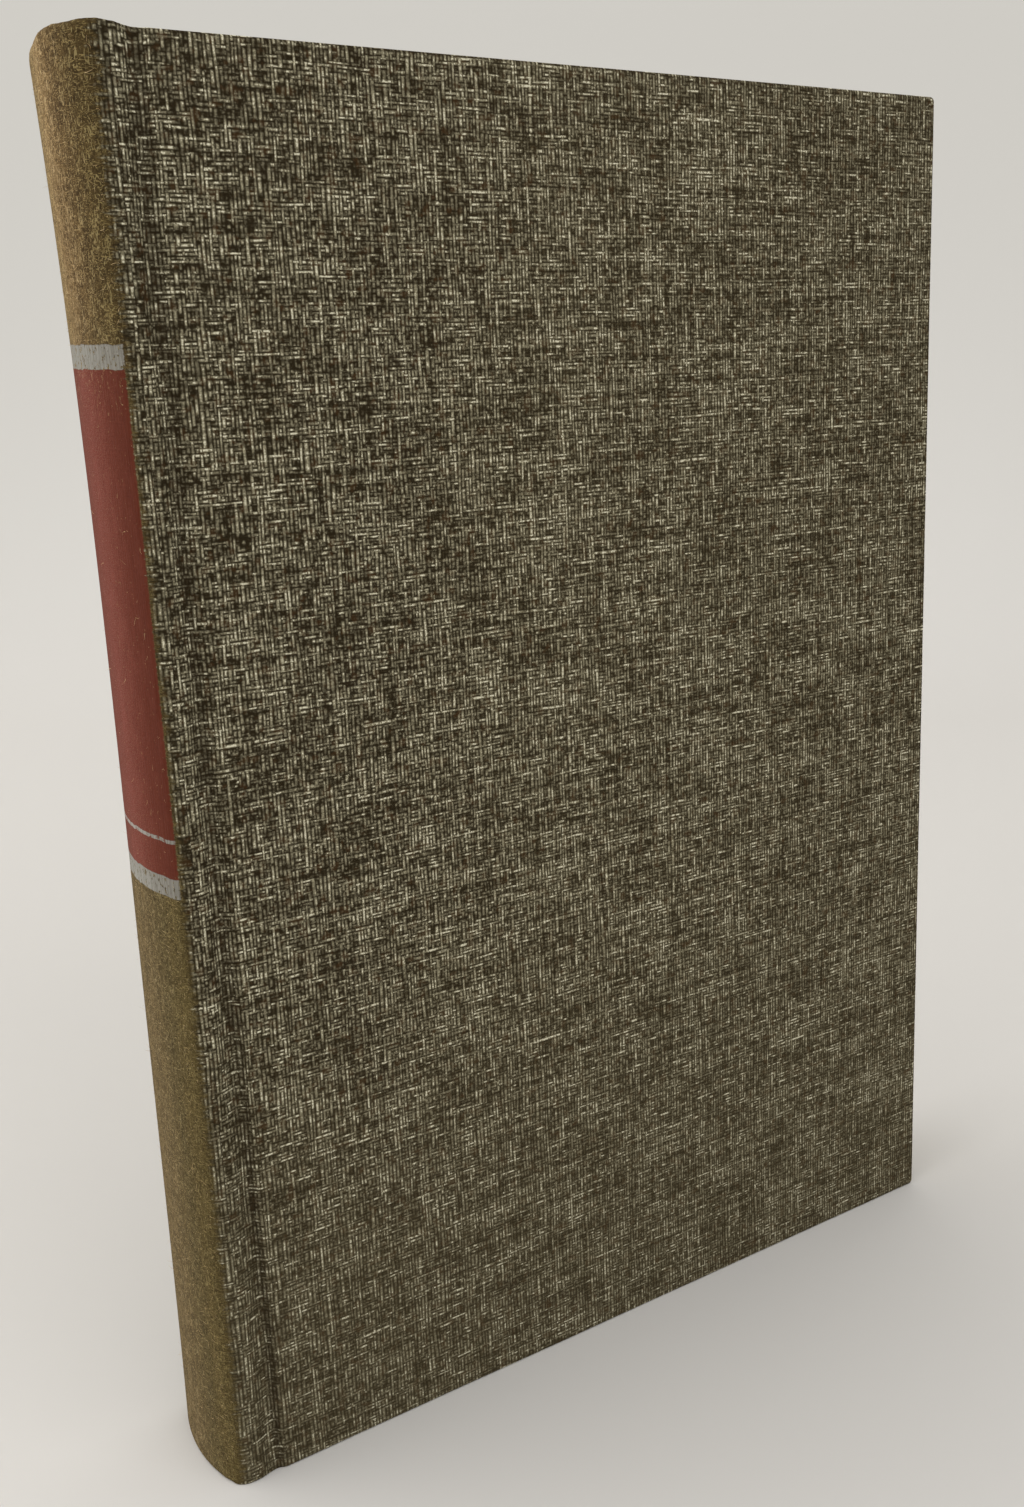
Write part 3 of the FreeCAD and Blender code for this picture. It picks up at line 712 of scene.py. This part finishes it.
def new_piece(name, fill, material, slot, merge=None):
    """Makes an object whose mesh is filled by a function of an empty mesh and its coordinate layer."""
    mesh = bmesh.new()
    layer = mesh.loops.layers.uv.new(UV_NAME)
    fill(mesh, layer)
    if merge:
        bmesh.ops.remove_doubles(mesh, verts=mesh.verts, dist=merge * MM)
    data = bpy.data.meshes.new(name)
    mesh.to_mesh(data)
    mesh.free()
    data.materials.append(material)
    piece = new_object(name, data)
    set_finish(piece, slot)
    return piece


def sheet_piece(name, points, cuts, flip, material, slot):
    """Makes an object of one grid."""
    return new_piece(name, lambda mesh, layer: add_grid(mesh, layer, points, cuts, flip), material, slot)


def thicken(piece, thickness):
    """Gives a sheet its thickness, on the side away from its face."""
    solid = piece.modifiers.new("Thickness", "SOLIDIFY")
    solid.thickness = thickness
    solid.offset = -1.0
    solid.use_rim = True


def standing(s, z, stand):
    """Places that stand out from the round of the spine by a distance."""
    flat, out = spine_section(s)
    return np.stack([flat[..., 0] + out[..., 0] * stand, flat[..., 1] + out[..., 1] * stand, z], -1)


def spine_cloth_grid(sizes):
    """Grid of the cloth round the spine, from the turned-in head over the face to the turned-in tail."""
    side = np.linspace(ROUND_ARC, SEAM_S, 15)
    s = np.concatenate([-side[::-1], np.linspace(-ROUND_ARC, ROUND_ARC, 41)[1:-1], side])
    thick = CASE_THICK + (FOLD_THICK - CASE_THICK) * smooth(np.abs(s), 12.9, 14.3)
    inset, depth, travel = (each[1:] for each in edge_path(thick, SPINE_EDGE, sizes.turn_in / MM))
    face, _ = np.meshgrid(board_heights()[::-1], s, indexing="ij")
    z = np.concatenate([HEIGHT + head_rise(s) - inset[::-1], face, inset])
    depth = np.concatenate([depth[::-1], np.zeros_like(face), depth])
    cut = np.concatenate([HEIGHT + travel[::-1] - OUTER_MARGIN, face, OUTER_MARGIN - travel])
    grid_s = np.broadcast_to(s, z.shape)
    return standing(grid_s, z, bow(grid_s, z) - depth), np.stack([grid_s, cut], -1)


def length_along(x, y):
    """Distances along a line of places from its first."""
    return np.concatenate([[0], np.cumsum(np.hypot(np.diff(x), np.diff(y)))])


def upright_sheet(x, y, z):
    """Grids of X and Z of a sheet that follows one level line, and its flat-sheet coordinates."""
    grid_x, grid_z = np.meshgrid(x, z)
    return grid_x, grid_z, np.stack([np.broadcast_to(length_along(x, y), grid_x.shape), grid_z], -1)


def cover_cloth_grids(sizes, side):
    """Face grid and edge grid of the cloth over a board. side is -1 for the front and 1 for the back."""
    groove = sizes.groove / MM
    joint = np.linspace(SEAM_X, BOARD_START + 0.7, 27)
    x = np.concatenate([joint, np.linspace(joint[-1], FORE_X - OUTER_MARGIN, 34)[1:]])
    z = board_heights()[::-1]
    length = SEAM_S + length_along(x, board_face(x, np.full_like(x, HEIGHT / 2), groove))
    grid_x, grid_z = np.meshgrid(x, z)
    face = np.stack([grid_x, side * board_face(grid_x, grid_z, groove), grid_z], -1)
    face_cut = np.stack([np.broadcast_to(length, grid_x.shape), grid_z], -1)
    corner = sizes.corner / MM
    angles = np.linspace(math.pi / 2, 0, 7)
    arc = [(math.cos(a), math.sin(a)) for a in angles]
    fore_length = length[-1] + OUTER_MARGIN
    stations = [("end", HEIGHT, px, ps, (0, 1)) for px, ps in zip(x, length)]
    stations += [("corner", HEIGHT, 0, 0, direction) for direction in arc]
    stations += [("fore", 0, pz, 0, (1, 0)) for pz in z]
    stations += [("corner", 0, 0, 0, (c, -v)) for c, v in arc[::-1]]
    stations += [("end", 0, px, ps, (0, -1)) for px, ps in zip(x[::-1], length[::-1])]
    thick = [fold_thick(place) if kind == "end" else BOARD_THICK for kind, _, place, _, _ in stations]
    inset, depth, travel = edge_path(thick, sizes.edge / MM, sizes.turn_in / MM)
    edge = np.zeros((*inset.shape, 3))
    edge_cut = np.zeros((*inset.shape, 2))
    for j, (kind, base, place, along, (dx, dz)) in enumerate(stations):
        inward = -1 if base else 1
        for k, gap in enumerate(inset[:, j]):
            reach = travel[k, j] - OUTER_MARGIN
            if kind == "end":
                rise = head_rise(side * along) if base and k > 0 else 0.0
                px = min(place, FORE_X - gap)
                pz = base + rise + inward * gap
                edge_cut[k, j] = (along, base + dz * reach)
            elif kind == "fore":
                px = FORE_X - gap
                pz = min(max(place, gap), HEIGHT - gap)
                edge_cut[k, j] = (fore_length + reach, place)
            else:
                radius = max(corner - gap, 0)
                centre = max(corner, gap)
                px = FORE_X - centre + dx * radius
                pz = base + inward * centre + dz * radius
                edge_cut[k, j] = (fore_length + dx * reach, base + dz * reach)
            edge[k, j] = (px, side * (board_face(px, pz, groove) - depth[k, j]), pz)
    return face, face_cut, edge, edge_cut


# Operators, one for each piece or group of like pieces


class BookOperator:
    """What every step of the book shares."""

    bl_options = {"REGISTER", "UNDO"}

    def execute(self, context):
        self.make(context.scene.book_sizes, context.scene.book_colours)
        return {"FINISHED"}


class BOOK_OT_camera(BookOperator, Operator):
    """Set the camera where the photograph was taken from"""

    bl_idname = "book.camera"
    bl_label = "Camera"

    def make(self, sizes, colours):
        data = bpy.data.cameras.new("Camera")
        data.lens = VIEW_LENS
        data.shift_x, data.shift_y = VIEW_SHIFT
        data.clip_start = 0.01
        camera = new_object("Camera", data)
        turn = Matrix((VIEW_RIGHT, VIEW_UP, VIEW_BACK)).transposed().to_4x4()
        turn.translation = Vector(VIEW_PLACE) * MM
        camera.matrix_world = turn
        bpy.context.scene.camera = camera


class BOOK_OT_spine_cloth(BookOperator, Operator):
    """Fold the case cloth round the spine, turned in at head and tail"""

    bl_idname = "book.spine_cloth"
    bl_label = "Spine cloth"

    def make(self, sizes, colours):
        material = spine_cloth_finish(colours)
        points, cuts = spine_cloth_grid(sizes)
        piece = sheet_piece("spine_case_cloth", points, cuts, False, material, "spine_cloth")
        thicken(piece, sizes.cloth)
        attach(piece, "book_block")
        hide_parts("spine_cloth")


class BOOK_OT_spine_card(BookOperator, Operator):
    """Lay the strip of card inside the spine's cloth"""

    bl_idname = "book.spine_card"
    bl_label = "Spine card"

    def make(self, sizes, colours):
        material = board_finish("card", colours.board, (98, 88, 72))
        s = np.linspace(-CARD_HALF, CARD_HALF, 33)
        z = np.linspace(1.3, HEIGHT - 1.0, 60)[::-1]
        grid_s, grid_z = np.meshgrid(s, z)
        points = standing(grid_s, grid_z, bow(grid_s, grid_z) - sizes.cloth / MM - 0.03)
        cuts = np.stack([grid_s, grid_z], -1)
        piece = sheet_piece("spine_card", points, cuts, False, material, "card")
        thicken(piece, CARD_THICK * MM)
        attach(piece, "book_block")
        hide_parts("spine_inlay")


class BOOK_OT_cover_cloths(BookOperator, Operator):
    """Wrap both boards in the case cloth, from the spine over the grooves to the turned-in edges"""

    bl_idname = "book.cover_cloths"
    bl_label = "Cover cloths"

    def make(self, sizes, colours):
        material = cover_cloth_finish(colours)
        for name, side in SIDES:
            face, face_cut, edge, edge_cut = cover_cloth_grids(sizes, side)

            def fill(mesh, layer):
                add_grid(mesh, layer, face, face_cut, side < 0)
                add_grid(mesh, layer, edge, edge_cut, side > 0)

            piece = new_piece(name + "_case_cloth", fill, material, "cover_cloth", merge=0.002)
            thicken(piece, sizes.cloth)
            start = (BEND_START * MM, side * FACE_Y * MM, 0)
            end = (BEND_END * MM, side * FACE_Y * MM, 0)
            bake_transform(piece)
            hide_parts(name + "_cover_cloth")


def leaf_outline(nominal, fore_step):
    """Places of one side of a leaf, from the rounded spine to the hollow fore-edge."""
    share = abs(nominal) / BLOCK_HALF
    sign = 1 if nominal >= 0 else -1

    def bent(local):
        q = min(max((SHOULDER_END - local) / SHOULDER_BEND, 0), 1)
        return nominal + sign * SHOULDER_BEND * (1 - math.sqrt(1 - q * q)) * share**1.6

    start = 0.0
    for _ in range(6):
        start = BACK_CENTRE - math.sqrt(BACK_RADIUS**2 - bent(start) ** 2)
    fore = BLOCK_FORE - FORE_HOLLOW * (1 - share**2) + fore_step
    early = [start + (STRAIGHT_START - start) * t for t in (0, 0.08, 0.18, 0.3, 0.45, 0.6, 0.8, 1)]
    late = [STRAIGHT_START + (fore - STRAIGHT_START) * t for t in (0.25, 0.5, 0.75, 1)]
    return [(LOCAL_X + local, bent(local)) for local in early + late]


class BOOK_OT_leaves(BookOperator, Operator):
    """Stack the leaves of the rounded and backed text block"""

    bl_idname = "book.leaves"
    bl_label = "Leaves"

    def make(self, sizes, colours):
        draw = random.Random(5)
        step = sizes.leaf_step / MM
        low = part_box("text_block")[0].z / MM
        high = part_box("text_block")[1].z / MM
        leaves = []
        section = 0.0
        for i in range(LEAF_COUNT):
            if i % SECTION_LEAVES == 0:
                section = draw.uniform(-1, 1)
            shift = [(section * 0.6 + draw.uniform(-0.6, 0.6)) * step for _ in range(3)]
            leaves.append((LEAF_THICK * i - BLOCK_HALF, LEAF_THICK * (i + 1) - BLOCK_HALF, shift))

        def fill(mesh, layer):
            for near, far, (head, tail, fore) in leaves:
                places = [(px, py, near) for px, py in leaf_outline(near + LEAF_GAP, fore)]
                places += [(px, py, far) for px, py in leaf_outline(far - LEAF_GAP, fore)[::-1]]
                top = [mesh.verts.new(Vector((px, py, high + head)) * MM) for px, py, _ in places]
                bottom = [mesh.verts.new(Vector((px, py, low + tail)) * MM) for px, py, _ in places]
                around = len(places)
                for i in range(around):
                    j = (i + 1) % around
                    face = mesh.faces.new([bottom[i], bottom[j], top[j], top[i]])
                    for loop, end, k in zip(face.loops, (low, low, high, high), (i, j, j, i)):
                        loop[layer].uv = (end * MM, places[k][2] * MM)
                half = around // 2
                for i in range(half - 1):
                    ring = [i, i + 1, around - 2 - i, around - 1 - i]
                    for verts, order in ((top, ring), (bottom, ring[::-1])):
                        face = mesh.faces.new([verts[k] for k in order])
                        for loop, k in zip(face.loops, order):
                            loop[layer].uv = (places[k][0] * MM, places[k][2] * MM)

        piece = new_piece("leaves", fill, leaf_edge_finish(colours), "book_paper")
        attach(piece, "book_block")
        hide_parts("text_block")


def endpaper_material(colours):
    """The endpapers' material, made once."""
    return bpy.data.materials.get("endpaper") or endpaper_finish(colours)


class BOOK_OT_flyleaves(BookOperator, Operator):
    """Lay the free half of each endpaper on the leaves, up into the joint"""

    bl_idname = "book.flyleaves"
    bl_label = "Flyleaves"

    def make(self, sizes, colours):
        material = endpaper_material(colours)
        for name, side in SIDES:
            low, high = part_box(name + "_flyleaf")
            z = np.linspace(low.z / MM, high.z / MM, 24)[::-1]
            fore = high.x / MM
            bend_x = LOCAL_X + SHOULDER_END
            bend_y = FLYLEAF_Y + FLYLEAF_BEND
            turn = np.linspace(FLYLEAF_TURN, 0, 9)
            x = np.concatenate([bend_x - FLYLEAF_BEND * np.sin(turn), np.linspace(bend_x, fore, 26)[1:]])
            y = np.concatenate([bend_y - FLYLEAF_BEND * np.cos(turn), np.full(25, FLYLEAF_Y)])
            grid_x, grid_z, cuts = upright_sheet(x, y, z)
            points = np.stack([grid_x, np.broadcast_to(y * side, grid_x.shape), grid_z], -1)
            piece = sheet_piece(name + "_flyleaf_paper", points, cuts, side < 0, material, "endpaper")
            thicken(piece, PAPER_THICK * MM)
            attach(piece, "book_block")
            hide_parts(name + "_flyleaf")


class BOOK_OT_pastedowns(BookOperator, Operator):
    """Glue the other half of each endpaper over the turned-in cloth, across the joint"""

    bl_idname = "book.pastedowns"
    bl_label = "Pastedowns"

    def make(self, sizes, colours):
        material = endpaper_material(colours)
        turn_in = sizes.turn_in / MM
        for name, side in SIDES:
            low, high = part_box(name + "_pastedown")
            fore = high.x / MM
            edge = FORE_X - turn_in
            step_rows = np.linspace(-1.5, 1.5, 7)
            board_x = np.concatenate([np.linspace(LOCAL_X + 10.5, edge - 2.5, 24), edge + step_rows])
            board_x = np.concatenate([board_x, np.linspace(edge + 4, fore, 4)])
            x = np.concatenate([LOCAL_X + np.array(JOINT_X), board_x])
            y = np.concatenate([JOINT_Y, np.full_like(board_x, PASTEDOWN_Y)])
            top = HEIGHT - turn_in
            tail = np.linspace(low.z / MM, turn_in - 3, 4)
            middle = np.linspace(turn_in + 4, top - 4, 24)
            head = np.linspace(top + 3, high.z / MM, 4)
            z = np.concatenate([tail, turn_in + step_rows, middle, top + step_rows, head])[::-1]
            grid_x, grid_z, cuts = upright_sheet(x, y, z)
            wobble = 0.3 * waver(grid_x + 3 * grid_z, 2.0, 170.0)
            up = grid_z + wobble
            in_height = smooth(up, turn_in - 0.2, turn_in + 1.2)
            in_height = in_height * (1 - smooth(up, top - 1.2, top + 0.2))
            in_width = smooth(grid_x, LOCAL_X + 9.0, LOCAL_X + 11.0)
            in_width = in_width * (1 - smooth(grid_x + wobble, edge - 1.2, edge + 0.2))
            sunk = PASTEDOWN_DIP * in_height * in_width
            points = np.stack([grid_x, side * (y + sunk), grid_z], -1)
            piece = sheet_piece(name + "_pastedown_paper", points, cuts, side > 0, material, "endpaper")
            thicken(piece, PAPER_THICK * MM)
            start = ((LOCAL_X + 2.5) * MM, side * 13 * MM, 0)
            end = ((LOCAL_X + 8.3) * MM, side * 13 * MM, 0)
            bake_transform(piece)
            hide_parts(name + "_pastedown")


class BOOK_OT_bands(BookOperator, Operator):
    """Sew the beaded bands at the head and the tail of the spine"""

    bl_idname = "book.bands"
    bl_label = "Head and tail bands"

    def make(self, sizes, colours):
        material = band_finish()
        bead = BEAD_RADIUS
        for name, node, up in (("head_band", "headband", 1), ("tail_band", "tailband", -1)):
            low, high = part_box(node)
            radius = ROUND_X - low.x / MM - bead
            half = math.asin(min(high.y / MM - 0.2, radius) / radius)
            middle = (high.z / MM - bead) if up > 0 else (low.z / MM + bead)
            turns = np.linspace(-half, half, 331)
            turn, angle = np.meshgrid(turns, np.linspace(0, 2 * math.pi, 13), indexing="ij")
            along = turn * radius
            ridge = np.abs(np.sin(math.pi * along / BEAD_PITCH))
            end = np.minimum(1, (half - np.abs(turn)) * radius / 0.6 + 0.25)
            size = bead * (0.9 + 0.1 * ridge) * np.sqrt(end)
            away = radius + size * np.cos(angle)
            height = middle + size * np.sin(angle)
            points = np.stack([ROUND_X - away * np.cos(turn), away * np.sin(turn), height], -1)
            cuts = np.stack([along, angle * bead], -1)
            arc = np.linspace(-half, half, 31)
            grid_a, grid_t = np.meshgrid(arc, np.linspace(0, TAPE_DEPTH, 5))
            tape_radius = radius + bead - TAPE_INSET
            tape_x = ROUND_X - tape_radius * np.cos(grid_a)
            tape = np.stack([tape_x, tape_radius * np.sin(grid_a), middle - up * grid_t], -1)
            tape_cuts = np.stack([grid_a * tape_radius, grid_t], -1)

            def fill(mesh, layer):
                add_grid(mesh, layer, points, cuts, False)
                for place in (0, -1):
                    cap = [mesh.verts.new(Vector(p) * MM) for p in points[place][:-1]]
                    mesh.faces.new(cap if place == 0 else cap[::-1])

            piece = new_piece(name, fill, material, "band_tape", merge=0.001)
            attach(piece, "book_block")
            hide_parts(node)
            strip = sheet_piece(name + "_tape", tape, tape_cuts, up < 0, material, "band_tape")
            thicken(strip, TAPE_THICK * MM)
            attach(strip, "book_block")


class BOOK_OT_hairs(BookOperator, Operator):
    """Lay loose hairs of worn cloth over the spine"""

    bl_idname = "book.hairs"
    bl_label = "Loose hairs"

    def make(self, sizes, colours):
        draw = random.Random(11)
        longest = sizes.hair / MM

        def fill(mesh, layer):
            for _ in range(sizes.hairs):
                s = draw.uniform(-HAIRY_HALF, HAIRY_HALF)
                z = draw.uniform(1.0, HEIGHT - 0.5)
                if BAND_LOW < z < BAND_HIGH and draw.random() < 0.85:
                    continue
                length = longest * (0.15 + 0.85 * draw.random() ** 3)
                heading = draw.uniform(0, 2 * math.pi)
                bend = draw.uniform(-1.6, 1.6)
                lift = draw.random() ** 2.5
                width = draw.uniform(0.05, 0.11)
                left = []
                right = []
                for k in range(HAIR_STEPS + 1):
                    t = k / HAIR_STEPS
                    along = heading + bend * t
                    s_k = s + math.cos(along) * length * t * 0.6
                    z_k = min(max(z + math.sin(along) * length * t * 0.6, 0.3), HEIGHT + 0.8)
                    _, (out_x, out_y) = spine_section(s_k)
                    stand = bow(s_k, z_k) + 0.01 + lift * length * t * t * 0.5
                    middle = Vector(standing(s_k, z_k, stand))
                    cross = Vector((out_y * math.sin(along), -out_x * math.sin(along), math.cos(along)))
                    half = width * (1 - 0.8 * t) / 2
                    left.append(mesh.verts.new((middle + cross * half) * MM))
                    right.append(mesh.verts.new((middle - cross * half) * MM))
                for k in range(HAIR_STEPS):
                    mesh.faces.new([left[k], right[k], right[k + 1], left[k + 1]])

        piece = new_piece("spine_hairs", fill, hair_finish(), "spine_cloth")
        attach(piece, "book_block")


class BOOK_OT_hidden_parts(BookOperator, Operator):
    """Finish the boards, lining and mull that come from the CAD model"""

    bl_idname = "book.hidden_parts"
    bl_label = "Boards and linings"

    def make(self, sizes, colours):
        finishes = {
            "front_board": board_finish("grey board", colours.board, (88, 84, 78)),
            "spine_lining": board_finish("kraft paper", srgb(164, 132, 92), (138, 106, 70)),
            "mull": plain_cloth_finish("mull", (212, 204, 180), (164, 152, 124)),
        }
        finishes["back_board"] = finishes["front_board"]
        for node, material in finishes.items():
            shape = frame["nodes"][node]
            if not shape.material_slots:
                shape.data.materials.append(material)
            for slot in shape.material_slots:
                slot.material = material


class BOOK_OT_stage(BookOperator, Operator):
    """Set up the pale floor, backdrop and soft lights"""

    bl_idname = "book.stage"
    bl_label = "Floor, backdrop and lights"

    def make(self, sizes, colours):
        finish = Finish("backdrop")
        x, y, z = finish.object_place()
        cloud = finish.noise(x / 260.0, y / 260.0, z / 260.0)
        # Painted light: the floor paler and the backdrop greyer as it rises.
        tint = finish.blend(finish.step(z, 0.0, 500.0), srgb(214, 211, 206), srgb(203, 201, 196))
        matt = finish.shader(tint, 0.9 + cloud * 0.02, cloud, 0.01)
        spot = finish.node("CombineXYZ", None, {0: x, 1: y, 2: z})
        distance = finish.node("VectorMath", {"operation": "LENGTH"}, {0: spot}, out="Value")
        far = finish.step(distance, *FADE) * finish.looked_at()
        pale = finish.node("Emission", None, {"Color": PALE, "Strength": 1.0})
        material = finish.finished(finish.node("MixShader", None, {0: far, 1: matt, 2: pale}))
        forward = Vector((0.5714, 0.8207, 0))
        across = Vector((0.8207, -0.5714, 0))
        profile = [(-FLOOR_REACH, 0), (-1200, 0), (-400, 0), (0, 0), (300, 0), (SWEEP_START, 0)]
        for turn in np.linspace(0, math.pi / 2, 15)[1:]:
            reach = SWEEP_START + SWEEP_RADIUS * math.sin(turn)
            profile.append((reach, SWEEP_RADIUS - SWEEP_RADIUS * math.cos(turn)))
        wall = SWEEP_START + SWEEP_RADIUS
        profile += [(wall, 1200), (wall, WALL_HEIGHT)]
        widths = np.linspace(-FLOOR_REACH, FLOOR_REACH, 17)
        rows = [[forward * d + across * w + Vector((0, 0, h)) for w in widths] for d, h in profile]
        cuts = np.array([[(w, d + h) for w in widths] for d, h in profile])
        floor = sheet_piece("floor_sweep", np.array(rows), cuts, False, material, "book_paper")
        del floor["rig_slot"]
        for name, place, size, power, colour in LIGHTS:
            data = bpy.data.lights.new(name, "AREA")
            data.size = size
            data.energy = power
            data.color = colour
            lamp = new_object(name, data)
            lamp.location = place
            aim = Vector((0, 0, 0.12)) - Vector(place)
            lamp.rotation_euler = aim.to_track_quat("-Z", "Y").to_euler()
        sky = Finish("Studio", "worlds")
        light = sky.node("Background", None, {0: (0.93, 0.94, 0.96), 1: 0.5})
        seen = sky.node("Background", None, {0: PALE, 1: 1.0})
        both = sky.node("MixShader", None, {0: sky.looked_at(), 1: light, 2: seen})
        bpy.context.scene.world = sky.finished(both, "OutputWorld")
        bpy.context.scene.view_settings.view_transform = "Standard"


class BOOK_PT_panel(Panel):
    """Steps and settings of the book"""

    bl_label = "Hardback book"
    bl_idname = "BOOK_PT_panel"
    bl_space_type = "VIEW_3D"
    bl_region_type = "UI"
    bl_category = "Book"

    def draw(self, context):
        for step in STEPS:
            self.layout.operator(step.bl_idname)
        for group in (context.scene.book_sizes, context.scene.book_colours):
            column = self.layout.column()
            for name in group.__annotations__:
                column.prop(group, name)


STEPS = (
    BOOK_OT_camera,
    BOOK_OT_spine_cloth,
    BOOK_OT_spine_card,
    BOOK_OT_cover_cloths,
    BOOK_OT_leaves,
    BOOK_OT_flyleaves,
    BOOK_OT_pastedowns,
    BOOK_OT_bands,
    BOOK_OT_hairs,
    BOOK_OT_hidden_parts,
    BOOK_OT_stage,
)
CLASSES = (BookSizes, BookColours, *STEPS, BOOK_PT_panel)


def register():
    """Registers the classes and hangs the settings on the scene."""
    for each in CLASSES:
        bpy.utils.register_class(each)
    bpy.types.Scene.book_sizes = PointerProperty(type=BookSizes)
    bpy.types.Scene.book_colours = PointerProperty(type=BookColours)


def unregister():
    """Takes the settings and classes away again."""
    del bpy.types.Scene.book_colours
    del bpy.types.Scene.book_sizes
    for each in reversed(CLASSES):
        bpy.utils.unregister_class(each)


def main():
    """Builds the book step by step."""
    register()
    for step in STEPS:
        group, name = step.bl_idname.split(".")
        getattr(getattr(bpy.ops, group), name)()


if __name__ == "__main__":
    main()
